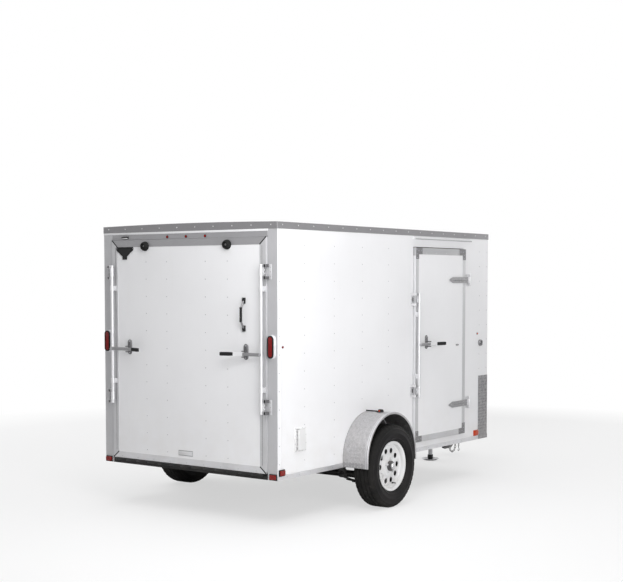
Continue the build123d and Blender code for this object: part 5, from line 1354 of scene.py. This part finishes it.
def makeTyre(name, node, body):
    # outline of radius and distance from the middle, with grooves, sipes and raised rings
    look = wheelLook
    low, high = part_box(node)
    centre = (low + high) / 2
    radius = (high.z - low.z) / 2
    half = (high.y - low.y) / 2
    wallLine = (
        (0.191, 0.0665), (0.198, 0.0668), (0.2097, 0.0668), (0.2137, 0.074), (0.222, 0.0865),
        (0.228, 0.0915), (0.2305, 0.0955), (0.2335, 0.0962), (0.236, 0.0935), (0.255, 0.0995),
        (0.268, 0.1016), (0.2705, 0.1024), (0.2735, 0.1024), (0.276, 0.1012), (0.292, 0.0985),
        (0.305, 0.0955),
        (0.3075, 0.0965), (0.3105, 0.0955), (0.313, 0.0925),
    )
    shoulder = ((0.322, 0.089), (0.331, 0.0845), (0.3365, 0.0805), (0.3395, 0.076), (0.3415, 0.069))
    # kinds: 0 wall, 1 tread, 2 shoulder, 3 groove
    section = [(r, d, 0) for r, d in wallLine] + [(r, d, 2) for r, d in shoulder]
    top, deep, wall = look["treadRadius"] - 0.0005, look["grooveDeep"], look["grooveHalf"]
    y = 0.062
    while y > 0.0:
        near = next((c for c in look["grooves"] if abs(y - c) < 0.0065), None)
        if near is None:
            section.append((0.3425 + 0.0015 * (1 - (y / 0.07) ** 2), y, 1))
            y -= 0.004
        else:
            section += [(top, near + wall + 0.0012, 1), (top - deep, near + wall - 0.0006, 3)]
            section += [(top - deep, near - wall + 0.0006, 3), (top, near - wall - 0.0012, 1)]
            y = near - 0.0075
    profile = section + [(r, -d, kind) for r, d, kind in reversed(section)]
    scale = radius / look["treadRadius"]
    steps = look["treadSteps"]
    mesh = bmesh.new()
    rings = []
    for number in range(steps):
        angle = 2 * math.pi * number / steps
        phase = number % look["blockSteps"]
        ring = []
        for r, d, kind in profile:
            shift = 0.0
            if kind in (1, 3) and abs(d) < 0.065:
                shift = 0.0018 * (1 if (number // 2) % 2 else -1)
            if kind == 2 and phase == 0:
                r -= look["sideDeep"]
            if kind == 1 and phase == 2 and abs(d) > 0.024:
                r -= 0.0022
            r = min(r, look["treadRadius"]) * scale
            y = centre.y + max(-half, min(half, d + shift))
            ring.append(mesh.verts.new((centre.x + r * math.cos(angle), y, centre.z + r * math.sin(angle))))
        rings.append(ring)
    for number in range(steps):
        first, second = rings[number], rings[(number + 1) % steps]
        for spotNumber in range(len(profile)):
            after = (spotNumber + 1) % len(profile)
            kind = profile[spotNumber][2] + profile[after][2]
            face = mesh.faces.new((first[spotNumber], second[spotNumber], second[after], first[after]))
            face.material_index = 1 if kind >= 2 else 0
    finishPiece(name, mesh, body, ("tyreRubber", "treadRubber"), (node,), 30)


def cutHoles(disc, cutter):
    # takes the cutter's volume out of the disc and gives back a plain mesh
    objects = []
    for label, mesh in (("disc", disc), ("cutter", cutter)):
        bmesh.ops.recalc_face_normals(mesh, faces=list(mesh.faces))
        data = bpy.data.meshes.new(label)
        mesh.to_mesh(data)
        mesh.free()
        objects.append(show(label, data))
    solid, tool = objects
    cut = solid.modifiers.new("holes", "BOOLEAN")
    cut.object = tool
    cut.operation = "DIFFERENCE"
    cut.solver = "EXACT"
    made = plainMesh(solid)
    for piece in objects:
        old = piece.data
        bpy.data.objects.remove(piece)
        bpy.data.meshes.remove(old)
    return made


def makeRim(side, name, node, body):
    look = wheelLook
    low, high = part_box(node)
    centre = (low + high) / 2
    radius = (high.z - low.z) / 2
    wide = high.y - low.y
    outerY = low.y if side < 0 else high.y
    face = Vector((centre.x, outerY, centre.z))
    inwards = Vector((0, -side, 0))
    sides = look["rimSides"]
    seat, well = 0.1895, 0.1695
    bore = well - 0.0045
    depth, steel, dish = look["discDepth"], look["discSteel"], look["dish"]
    barrel = bmesh.new()
    addLathe(barrel, face, inwards, [
        (radius - 0.0035, 0.0), (radius - 0.0005, 0.0025), (radius - 0.0005, 0.0065),
        (radius - 0.004, 0.0085), (seat + 0.003, 0.0088), (seat, 0.011), (seat, 0.036),
        (seat - 0.006, 0.041), (well, 0.047),
        (well, wide - 0.047), (seat, wide - 0.036), (seat, wide - 0.010), (radius - 0.001, wide - 0.008),
        (radius - 0.001, wide), (seat - 0.004, wide), (bore + 0.004, wide - 0.04), (bore, wide - 0.05),
        (bore, 0.052), (bore + 0.003, 0.046), (seat - 0.0062, 0.036), (seat - 0.0055, 0.014),
        (seat - 0.001, 0.006), (radius - 0.009, 0.0018),
    ], sides, 0, closed=True)
    # dark liner inside the barrel behind the disc: painted shade, so that the holes show dark
    addLathe(barrel, face, inwards, [
        (bore - 0.0012, depth + 0.014), (bore - 0.0004, depth + 0.014), (bore - 0.0004, wide - 0.05),
        (bore - 0.0012, wide - 0.05),
    ], sides, 2, closed=True)
    disc, cutter = bmesh.new(), bmesh.new()
    boss, centreHole = look["boss"], look["centreHole"]
    top = [
        (centreHole, depth - dish), (boss - 0.008, depth - dish), (boss + 0.002, depth - dish * 0.85),
        (boss + 0.012, depth - dish * 0.25), (boss + 0.018, depth), (0.147, depth), (0.154, depth + 0.0015),
        (bore + 0.002, depth + 0.008),
    ]
    under = [(r, d + steel) for r, d in reversed(top)]
    addLathe(disc, face, inwards, top + under, sides, 0, closed=True)
    hole, middles = look["holeRadius"], []
    drill = [(0, 0), (hole, 0), (hole, 0.06), (0, 0.06)]
    for c, s in circle(look["holeCount"]):
        middle = face + Vector((c, 0, s)) * look["holeCircle"] + inwards * depth
        middles.append(middle)
        addLathe(cutter, middle - inwards * 0.03, inwards, drill, look["holeSides"])
    cutDisc = cutHoles(disc, cutter)
    barrel.from_mesh(cutDisc)
    bpy.data.meshes.remove(cutDisc)
    for middle in middles:
        addLathe(barrel, middle, inwards, [
            (hole + 0.0012, -0.0004), (hole + 0.0002, -0.0012), (hole - 0.0012, 0.0004),
            (hole - 0.0014, 0.004), (hole - 0.0004, 0.004), (hole + 0.0004, 0.001),
        ], look["holeSides"], closed=True)
    valve = face + Vector((0.058, 0, -0.149)) + inwards * (depth + 0.002)
    addLathe(barrel, valve, -inwards, [
        (0, 0), (0.0065, 0), (0.006, 0.006), (0.0045, 0.012), (0.004, 0.026), (0.0045, 0.027),
        (0.0045, 0.036), (0, 0.037),
    ], 14, 1)
    finishPiece(name, barrel, body, ("rimPaint", "blackPlastic", "blackPaint"), (node,), 28)


def makeHub(side, name, node, body):
    look = wheelLook
    low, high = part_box(node)
    outerY = low.y if side < 0 else high.y
    tip = Vector(((low.x + high.x) / 2, outerY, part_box("tyre_right")[1].z / 2))
    inwards = Vector((0, -side, 0))
    length = high.y - low.y
    rimLow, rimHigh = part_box(node.replace("hub", "rim"))
    rimFace = rimLow.y if side < 0 else rimHigh.y
    seat = abs(outerY - rimFace) + look["discDepth"] - look["dish"]
    flange = seat + 0.007
    mesh = bmesh.new()
    addLathe(mesh, tip, inwards, [
        (0, 0), (0.012, 0.0004), (0.020, 0.0022), (0.026, 0.006), (0.0285, 0.011), (0.0288, 0.017),
        (0, 0.017),
    ], 32, 1)
    addLathe(mesh, tip, inwards, [
        (0, 0.016), (0.0315, 0.016), (0.033, 0.0175), (0.033, 0.021), (0.032, 0.0235), (0.032, 0.028),
        (0.0425, 0.031), (0.0435, 0.034), (0.0435, flange), (0.0445, flange), (0.064, flange),
        (0.066, flange + 0.002), (0.066, flange + 0.015), (0.046, flange + 0.023),
        (0.044, length - 0.02), (0.05, length - 0.016), (0.05, length), (0.0225, length),
        (0.0225, length - 0.004), (0, length - 0.004),
    ], 32)
    finishPiece(name, mesh, body, ("hubMetal", "capEnd"), (node,))
    nuts = []
    for step in range(look["lugCount"]):
        angle = math.radians(90 + 360 / look["lugCount"] * step)
        spin = Vector((math.cos(angle), 0, math.sin(angle)))
        nuts.append(spot(tip + inwards * seat + spin * look["lugCircle"], -inwards))
    size = headSize(0.0165, 0.016, 1.0)
    repeatOnSpots(name + "Nuts", "screw", nuts, size, body, "barZinc")


for side, label in ((-1, "right"), (1, "left")):
    title = label.capitalize()
    makeTyre("tyre" + title, "tyre_" + label, "wheel_" + label)
    makeRim(side, "rim" + title, "rim_" + label, "wheel_" + label)
    makeHub(side, "hub" + title, "hub_" + label, "wheel_" + label)
print("wheels ready")


# Fenders and stone guard with their tread-plate bars

plateLook = {
    "pitch": 0.027, "barLong": 0.024, "barWide": 0.0065, "barTall": 0.0013, "arcSteps": 48,
    "bead": 0.004, "steel": 0.003, "lip": 0.014, "guardMargin": 0.005, "footSteel": 0.0008,
}


def barSize(share=1.0):
    tall = plateLook["barTall"] * share
    size = {"Bar Length": plateLook["barLong"], "Bar Width": plateLook["barWide"], "Bar Height": tall}
    return {**size, "Turn Variation": 0.04}


def halfCircle(steps):
    angles = [math.pi * step / steps for step in range(steps + 1)]
    return [(math.cos(angle), math.sin(angle)) for angle in angles]


def archPoints(radius, centreX, centreZ, footZ, steps):
    arch = [(centreX - radius * c, centreZ + radius * s) for c, s in halfCircle(steps)]
    return [(centreX - radius, footZ)] + arch + [(centreX + radius, footZ)]


def addArchStrip(mesh, section, centreX, centreZ, footZ, number=0, inner=None):
    # closed section of radius and Y carried along the arch; inner names the side that faces the wheel
    lines = [archPoints(radius, centreX, centreZ, footZ, plateLook["arcSteps"]) for radius, _ in section]
    rings = []
    for points in zip(*lines):
        rings.append([mesh.verts.new((x, y, z)) for (x, z), (_, y) in zip(points, section)])
    for first, second in zip(rings, rings[1:]):
        for corner in range(len(section)):
            after = (corner + 1) % len(section)
            face = mesh.faces.new((first[corner], first[after], second[after], second[corner]))
            face.material_index = 2 if corner == inner else number
    for ring in (rings[0], rings[-1]):
        mesh.faces.new(ring).material_index = number


def makeFender(side, name, node):
    low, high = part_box(node)
    bead, steel, lip = plateLook["bead"], plateLook["steel"], plateLook["lip"]
    radius = (high.x - low.x) / 2 - bead
    centreX, centreZ = (low.x + high.x) / 2, high.z - bead - radius
    wall, outer = sorted((abs(low.y), abs(high.y)))
    inner = radius - steel
    foot = radius - lip
    # each section is radius, distance in from the outer edge, and its material number
    roll = [(radius + bead * s, 0.0065 + 0.0048 * c) for c, s in halfCircle(8)]
    ridge = [(radius + 0.0022 * s, 0.022 + 0.0032 * c) for c, s in halfCircle(6)]
    sections = (
        ([(radius, outer - wall), (radius, 0.011), (inner, 0.011), (inner, outer - wall)], 0, 2),
        (roll + [(inner, 0.0017), (inner, 0.0113)], 1, None),
        ([(radius + 0.0018, 0.0018), (radius + 0.0012, 0), (foot + 0.002, 0), (foot, 0.0015),
          (foot + 0.002, steel), (inner, steel)], 0, None),
        (ridge + [(inner + 0.001, 0.0188), (inner + 0.001, 0.0252)], 1, None),
    )
    mesh = bmesh.new()
    for section, number, lining in sections:
        section = [(reach, side * (outer - inset)) for reach, inset in section]
        addArchStrip(mesh, section, centreX, centreZ, low.z, number, lining)
    finishPiece(name, mesh, "trailer", ("treadPlate", "zinc", "guardPlate"), (node,))
    spots = []
    pitch = plateLook["pitch"]
    rows = int((outer - wall - 0.03) / pitch)
    leg = centreZ - low.z
    length = math.pi * radius + 2 * leg
    for column in range(int(length / pitch)):
        reach = (column + 0.5) * pitch
        if reach < leg:
            at, normal = Vector((centreX - radius, 0, low.z + reach)), -axisX
            run = axisZ
        elif reach > leg + math.pi * radius:
            at, normal = Vector((centreX + radius, 0, low.z + (length - reach))), axisX
            run = -axisZ
        else:
            angle = math.pi - (reach - leg) / radius
            normal = Vector((math.cos(angle), 0, math.sin(angle)))
            at = Vector((centreX, 0, centreZ)) + normal * radius
            run = Vector((math.sin(angle), 0, -math.cos(angle)))
        for row in range(rows):
            y = side * (wall + 0.012 + (row + 0.5) * (outer - wall - 0.036) / rows)
            slant = 1 if (row + column) % 2 else -1
            spots.append(spot(at + axisY * y, normal, run + axisY * slant))
    repeatOnSpots(name + "Bars", "bar", spots, barSize(), "trailer", "plateBar", smooth=True)


def makeGuardBars():
    low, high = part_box("stone_guard")
    size, margin = high - low, plateLook["guardMargin"]

    def places(start, length, count):
        return [start + margin + (step + 0.5) * (length - 2 * margin) / count for step in range(count)]

    pitch = plateLook["pitch"]
    heights = list(enumerate(places(low.z, size.z, int((size.z - 2 * margin) / pitch))))
    spots = []
    for column, y in enumerate(places(low.y, size.y, int((size.y - 2 * margin) / pitch))):
        for row, z in heights:
            spots.append(spot((high.x, y, z), axisX, axisZ + axisY * (1 if (row + column) % 2 else -1)))
    across = places(low.x, size.x, int((size.x - margin) / pitch))
    for side in (-1, 1):
        for column, x in enumerate(across):
            for row, z in heights:
                slant = 1 if (row + column) % 2 else -1
                spots.append(spot((x, side * high.y, z), (0, side, 0), axisZ + axisX * slant))
    footLow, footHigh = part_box("foot_trim")
    foot, proud = bmesh.new(), footHigh.y + plateLook["footSteel"]
    start = footLow.z + 0.001
    for side in (-1, 1):
        near, far = sorted((side * footHigh.y, side * proud))
        addBox(foot, (low.x, near, start), (footHigh.x, far, footHigh.z))
        for column, x in enumerate(across):
            slant = -1 if column % 2 else 1
            middle = (x, side * proud, (footLow.z + footHigh.z) / 2)
            spots.append(spot(middle, (0, side, 0), axisZ + axisX * slant))
    front = (footHigh.x + plateLook["footSteel"], footHigh.y, footHigh.z)
    addBox(foot, (footHigh.x, -footHigh.y, start), front)
    finishPiece("stoneGuardFoot", foot, "trailer", ("guardPlate",))
    repeatOnSpots("stoneGuardBars", "bar", spots, barSize(0.9), "trailer", "plateBar",
            smooth=True)
    rivets = []
    for side in (-1, 1):
        for z in evenly(low.z + 0.02, high.z - 0.015, 0.11):
            rivets.append(spot((low.x + 0.006, side * high.y, z), (0, side, 0)))
        for x in evenly(low.x + 0.03, high.x - 0.02, 0.07):
            rivets.append(spot((x, side * high.y, high.z - 0.006), (0, side, 0)))
    for y in evenly(low.y + 0.03, high.y - 0.03, 0.15):
        rivets.append(spot((high.x, y, high.z - 0.006), axisX))
    repeatOnSpots("stoneGuardRivets", "rivet", rivets, {}, "trailer", "screwZinc",
            smooth=True)


makeFender(-1, "fenderRight", "fender_right")
makeFender(1, "fenderLeft", "fender_left")
makeGuardBars()
print("fenders and guard ready")


# Jack and chains

jackLook = {"tailCut": 0.2, "crankArm": 0.156}


def makeJack():
    legLow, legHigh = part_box("jack_leg")
    bodyLow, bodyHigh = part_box("jack_body")
    x = (legLow.x + legHigh.x) / 2
    foot = Vector((x, 0, legLow.z))
    radius = (legHigh.x - legLow.x) / 2
    leg = bmesh.new()
    addLathe(leg, foot, axisZ, [
        (0, 0), (0.056, 0), (0.062, 0.0012), (radius - 0.004, 0.0145), (radius, 0.0175),
        (radius - 0.0008, 0.0195), (radius - 0.006, 0.0185), (0.058, 0.0048), (0.053, 0.004), (0.03, 0.004),
        (0, 0.004),
    ], 48)
    addLathe(leg, foot, axisZ, [
        (0, 0.003), (0.031, 0.003), (0.028, 0.007), (0.028, 0.056), (0.0265, 0.058), (0, 0.058),
    ], 28, 1)
    tall = legHigh.z - legLow.z
    stem = [(0, 0.05), (0.0216, 0.05), (0.022, 0.052), (0.022, tall - 0.002), (0.020, tall), (0, tall)]
    addLathe(leg, foot, axisZ, stem, 28, 2)
    pin = Vector((0, 0.034, 0))
    addRod(leg, foot + axisZ * 0.034 - pin, foot + axisZ * 0.034 + pin, 0.0045, 0.001, 12, 2)
    finishPiece("jackLeg", leg, "jack_leg", ("zinc", "blackPaint", "zinc"), ("jack_leg",))
    tube = bmesh.new()
    top = bodyHigh.z
    rest = top - 0.022
    addLathe(tube, (x, 0, 0), axisZ, [
        (0.0285, bodyLow.z), (0.0285, rest - 0.02), (0.023, rest - 0.02), (0.023, bodyLow.z),
    ], 32, closed=True)
    addLathe(tube, (x, 0, 0), axisZ, [
        (0, rest - 0.03), (0.033, rest - 0.03), (0.0345, rest - 0.028), (0.0345, rest + 0.012),
        (0.031, rest + 0.018), (0.02, rest + 0.0215), (0, rest + 0.022),
    ], 32)
    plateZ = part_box("tongue_plates")[1].z
    for band in (bodyLow.z + 0.002, plateZ + 0.07, rest - 0.05):
        addLathe(tube, (x, 0, 0), axisZ, [
            (0.0285, band), (0.0298, band + 0.001), (0.0298, band + 0.007), (0.0285, band + 0.008),
        ], 32, closed=True)
    outline = []
    for c, s in circle(48):
        # three lobes: the cosine of three times the angle
        reach = 0.0445 * (0.93 + 0.07 * (4 * c ** 3 - 3 * c))
        outline.append((reach * c, reach * s))
    addPlate(tube, outline, moved((x, 0, plateZ)), 0.008, 0.0015)
    for c, s in circle(3):
        addHead(tube, (x + 0.037 * c, 0.037 * s, plateZ + 0.008), axisZ, 0.0065, 0.0048, 1)
    crankZ = rest - 0.004
    out = bodyHigh.y - 0.08
    addRod(tube, (x, 0.03, crankZ), (x, out, crankZ), 0.007, 0.001, 16, 1)
    nut = [(0, 0), (0.012, 0), (0.012, 0.008), (0.0085, 0.011), (0, 0.011)]
    addLathe(tube, (x, 0.034, crankZ), axisY, nut, 20)
    long = jackLook["crankArm"]
    arm = facing((x - long / 2, out - 0.007, crankZ), axisY)
    addPlate(tube, roundedOutline(long + 0.02, 0.02, 0.00998), arm, 0.007, 0.0012, 1)
    addLathe(tube, (x - long, out, crankZ), axisY, [
        (0, 0), (0.0085, 0), (0.0105, 0.003), (0.0118, 0.02), (0.0105, 0.055), (0.0118, 0.07),
        (0.0105, 0.0785), (0, 0.08),
    ], 20, 2)
    looks = ("blackPaint", "zinc", "blackPlastic")
    finishPiece("jackBody", tube, "trailer", looks, ("jack_body",))


def linkSpots():
    # middle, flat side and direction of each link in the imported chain
    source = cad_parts["safety_chains"].data
    mesh = bmesh.new()
    mesh.from_mesh(source)
    bmesh.ops.remove_doubles(mesh, verts=list(mesh.verts), dist=0.00001)
    left = set(mesh.verts)
    spots, hooks = [], []
    while left:
        first = left.pop()
        island, edge = [first], [first]
        while edge:
            vert = edge.pop()
            for link in vert.link_edges:
                other = link.other_vert(vert)
                if other in left:
                    left.remove(other)
                    island.append(other)
                    edge.append(other)
        places = [v.co.copy() for v in island]
        middle = sum(places, Vector()) / len(places)
        tall = max(p.z for p in places) - min(p.z for p in places)
        if tall > 0.05:
            hooks.append(places)
            continue
        pairs = [(a - b) for a in places for b in places if (a - b).length > 0.032]
        along = sum(((d if d.dot(pairs[0]) > 0 else -d) for d in pairs), Vector()).normalized()
        flat = min((axisY, along.cross(axisY)), key=lambda c: max((p - middle).dot(c) for p in places))
        spots.append(spot(middle, flat, along))
    mesh.free()
    return spots, hooks


def makeChains():
    spots, hooks = linkSpots()
    size = {"Link Length": 0.0308, "Link Width": 0.018, "Wire Radius": 0.0034}
    repeatOnSpots("safetyChains", "link", spots, size, "trailer", "strapGrey",
            ("safety_chains",), True)
    mesh = bmesh.new()
    for places in hooks:
        xs, ys, zs = zip(*places)
        low, high, ring = min(zs), max(zs), 0.0135
        x, y = (min(xs) + max(xs)) / 2, sum(ys) / len(ys)
        centre = Vector((x, y, low + 0.017))
        points = [(x, y, high - 0.030), (x, y, low + 0.044), (x + 0.001, y, low + 0.036)]
        for step in range(15):
            angle = math.radians(80 - step * 19)
            points.append(centre + Vector((math.cos(angle) * ring, 0, math.sin(angle) * ring)))
        addSweep(mesh, points, 0.0036, 10)
        eye = [(x + 0.0088 * c, y, high - 0.0205 + ring * s) for c, s in circle(16)]
        addSweep(mesh, eye + eye[:1], 0.0034, 10)
    finishPiece("chainHook", mesh, "trailer", ("strapGrey",))


def makeTongueRails():
    # the tongue's rails with their tails cut upwards to the frame
    low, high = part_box("tongue_rails")
    mesh = bmesh.new()
    mesh.from_mesh(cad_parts["tongue_rails"].data)
    bmesh.ops.remove_doubles(mesh, verts=list(mesh.verts), dist=0.00001)
    tall, run = high.z - low.z, jackLook["tailCut"]
    for side in (-1, 1):
        corner = Vector((0, side * high.y, high.z - 0.006))
        everything = list(mesh.verts) + list(mesh.edges) + list(mesh.faces)
        cut = bmesh.ops.bisect_plane(mesh, geom=everything, plane_co=corner,
                plane_no=Vector((0, side * tall, -run)).normalized(), clear_outer=True)
        edges = [e for e in cut["geom_cut"] if isinstance(e, bmesh.types.BMEdge)]
        bmesh.ops.contextual_create(mesh, geom=edges)
    finishPiece("tongueRails", mesh, "trailer", ("blackPaint",), ("tongue_rails",))


makeTongueRails()
makeJack()
makeChains()
print("jack and chains ready")


# Screws and bolts on the doors, hinges and trims


def makeDoorHeads():
    low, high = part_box("side_door_frame")
    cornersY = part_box("side_door_corners")[0].y
    spots = []
    for xSign, x in ((1, low.x), (-1, high.x)):
        for zSign, z in ((1, low.z), (-1, high.z)):
            for dx, dz in ((0.015, 0.015), (0.05, 0.026), (0.095, 0.026), (0.026, 0.055), (0.026, 0.088)):
                spots.append(spot((x + xSign * dx, cornersY, z + zSign * dz), -axisY))
    size = headSize(screwLayout["wallHead"], screwLayout["wallRise"])
    repeatOnSpots("doorCornerScrews", "screw", spots, size, "side_door", "screwZinc")
    frameSpots = []
    for z in evenly(low.z + 0.17, high.z - 0.17, 0.17):
        frameSpots.append(spot((low.x + 0.044, low.y, z), -axisY))
        frameSpots.append(spot((high.x - 0.044, low.y, z), -axisY))
    for x in evenly(low.x + 0.18, high.x - 0.18, 0.17):
        frameSpots.append(spot((x, low.y, low.z + 0.043), -axisY))
        frameSpots.append(spot((x, low.y, high.z - 0.046), -axisY))
    size = {"Dome Radius": 0.0035, "Dome Height": 0.0013}
    repeatOnSpots("doorFrameRivets", "rivet", frameSpots, size, "side_door", "screwWhite",
            smooth=True)


def makeHingeBolts():
    low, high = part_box("side_hinge_straps")
    buttLow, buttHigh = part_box("side_hinge_butts")
    steelY = doorLow.y - 0.005
    straps, butts = [], []
    pinX, heights = buttLow.x + 0.024, (low.z + 0.0275, high.z - 0.0275)
    for z in heights:
        for reach in (0.04, 0.105, 0.17, 0.25, 0.32):
            x = pinX - reach
            lift = 0.012 if reach < 0.2 else 0.0
            for sign in ((-1, 1) if lift else (0,)):
                straps.append(spot((x, steelY, z + sign * lift), -axisY))
    size = headSize(0.006, 0.0035)
    repeatOnSpots("hingeStrapBolts", "screw", straps, size, "side_door", "hingeZinc")
    raised = bmesh.new()
    for z in heights:
        start = (pinX - 0.285, steelY - 0.0022, z - 0.006)
        addBox(raised, start, (pinX - 0.035, steelY + 0.0004, z + 0.006), 0.0018)
    finishPiece("hingeStrapRibs", raised, "side_door", ("strapGrey",))
    for z in heights:
        for lift in (-0.045, 0.045, 0):
            butts.append(spot((buttHigh.x - 0.008, -halfWidth - 0.004, z + lift), -axisY))
    size = headSize(0.006, 0.003)
    repeatOnSpots("hingeButtBolts", "screw", butts, size, "trailer", "screwZinc")


def makeFrameGaps():
    # black gaps where the ramp frame's members meet, and a black strip as painted shade of the groove
    # beside each stile's channel
    look = rampLook
    mesh = bmesh.new()
    stile = leafHigh.y - panelHigh.y
    groove = leafHigh.y - stile * look["grooveShare"]
    thin, half = look["gapProud"], look["gapWide"] / 2
    for side in (-1, 1):
        # painted shade: a black strip along the groove
        addBox(mesh, (leafLow.x - thin, side * groove - 0.001, leafLow.z + stile),
               (leafLow.x + thin, side * groove + 0.001, leafHigh.z - stile))
        for outerZ, innerZ in ((leafHigh.z, panelHigh.z), (leafLow.z, panelLow.z)):
            outer = Vector((0, side * leafHigh.y, outerZ))
            inner = Vector((0, side * panelHigh.y, innerZ))
            square = axisX.cross(inner - outer).normalized() * half
            corners = [outer + square, outer - square, inner - square, inner + square]
            place = facing((leafLow.x + thin, 0, 0), -axisX)
            addPlate(mesh, [(-p.y, p.z) for p in corners], place, 2 * thin)
    finishPiece("rampFrameGapsAndGrooveShade", mesh, "ramp", ("bumperRubber",))


makeDoorHeads()
makeHingeBolts()
makeFrameGaps()
print("door and hinge heads ready")


# Camera: place and lens worked out from the photo's box edges

cameraSetup = {
    "aft": -7.452, "side": -6.683, "height": 1.873,
    "pitchDown": 3.310, "yaw": 36.188, "lens": 72.437, "shiftY": 0.0993,
}


def makeCamera():
    data = bpy.data.cameras.new("photoCamera")
    data.lens = cameraSetup["lens"]
    data.sensor_width = 36.0
    data.sensor_fit = "HORIZONTAL"
    data.shift_y = cameraSetup["shiftY"]
    data.clip_end = 200.0
    camera = show("photoCamera", data)
    camera.location = (rearX + cameraSetup["aft"], cameraSetup["side"], cameraSetup["height"])
    pitch = math.radians(90.0 - cameraSetup["pitchDown"])
    camera.rotation_euler = (pitch, 0.0, math.radians(cameraSetup["yaw"] - 90.0))
    bpy.context.scene.camera = camera


# Studio: pale floor, white surroundings and large soft lamps

studio = {
    "floorSize": 120.0, "floorColour": (0.86, 0.86, 0.865), "floorShade": (0.8, 0.8, 0.8),
    "fadeFrom": 3.2, "fadeTo": 7.5, "floorGlow": 0.6, "ambient": 0.25,
    "lamps": (
        # name, place, aimed at, size, watts
        ("keyLamp", (-5.0, -8.5, 2.5), (-1.2, -0.9, 1.2), 4.0, 290.0),
        ("rearLamp", (-3.9, -2.3, 3.2), (-2.2, -0.6, 1.5), 1.6, 53.0),
        ("topLamp", (-1.5, -1.0, 9.0), (-1.5, -1.0, 0.0), 9.0, 400.0),
        ("leftLamp", (1.5, 7.5, 4.0), (0.0, 0.9, 1.2), 4.5, 130.0),
        ("frontLamp", (8.0, -2.0, 3.6), (1.2, 0.0, 1.1), 4.0, 100.0),
    ),
}


def makeFloor():
    half = studio["floorSize"] / 2
    data = bpy.data.meshes.new("studioFloor")
    corners = [(-half, -half, 0), (half, -half, 0), (half, half, 0), (-half, half, 0)]
    data.from_pydata(corners, [], [(0, 1, 2, 3)])
    floor = show("studioFloor", data)
    material, shader, at = startMaterial("studioFloor")
    feed(shader, "Roughness", 0.85)
    mottle = ramp(noise(at, 3.0, 4.0), 0.4, 0.7, 0.0, 0.03)
    feed(shader, "Base Color", mixColours(mottle, studio["floorColour"], studio["floorShade"]))
    distance = add("ShaderNodeVectorMath", {0: at}, operation="LENGTH").outputs["Value"]
    far = ramp(distance, studio["fadeFrom"], studio["fadeTo"])
    white = add("ShaderNodeEmission", {"Color": (1, 1, 1, 1), "Strength": 1.0}).outputs[0]
    seen = add("ShaderNodeLightPath").outputs["Is Camera Ray"]
    share = calc("MULTIPLY", calc("MAXIMUM", far, studio["floorGlow"]), seen)
    blend = add("ShaderNodeMixShader", {0: share, 1: shader.outputs[0], 2: white}).outputs[0]
    feed(next(n for n in tree.nodes if n.type == "OUTPUT_MATERIAL"), 0, blend)
    data.materials.append(material)


def makeWorld():
    # white where the camera and mirrors look, dimmer as light on the trailer
    global tree
    world = bpy.data.worlds.new("whiteRoom")
    world.use_nodes = True
    tree = world.node_tree
    tree.nodes.clear()
    rays = add("ShaderNodeLightPath").outputs
    direct = calc("MAXIMUM", rays["Is Camera Ray"], rays["Is Glossy Ray"])
    direct = calc("MAXIMUM", direct, rays["Is Transmission Ray"])
    white = {"Color": (1, 1, 1, 1), "Strength": 1.0}
    soft = add("ShaderNodeBackground", {**white, "Strength": studio["ambient"]}).outputs[0]
    full = add("ShaderNodeBackground", white).outputs[0]
    blend = add("ShaderNodeMixShader", {0: direct, 1: soft, 2: full}).outputs[0]
    add("ShaderNodeOutputWorld", {0: blend})
    bpy.context.scene.world = world


def makeLamps():
    for name, place, aim, size, watts in studio["lamps"]:
        data = bpy.data.lights.new(name, "AREA")
        data.shape = "SQUARE"
        data.size = size
        data.energy = watts
        lamp = show(name, data)
        lamp.location = place
        lamp.visible_camera = False
        lamp.rotation_euler = (Vector(aim) - Vector(place)).to_track_quat("-Z", "Y").to_euler()


makeCamera()
makeFloor()
makeWorld()
makeLamps()
bpy.context.scene.view_settings.view_transform = "Standard"
print("camera and studio ready")
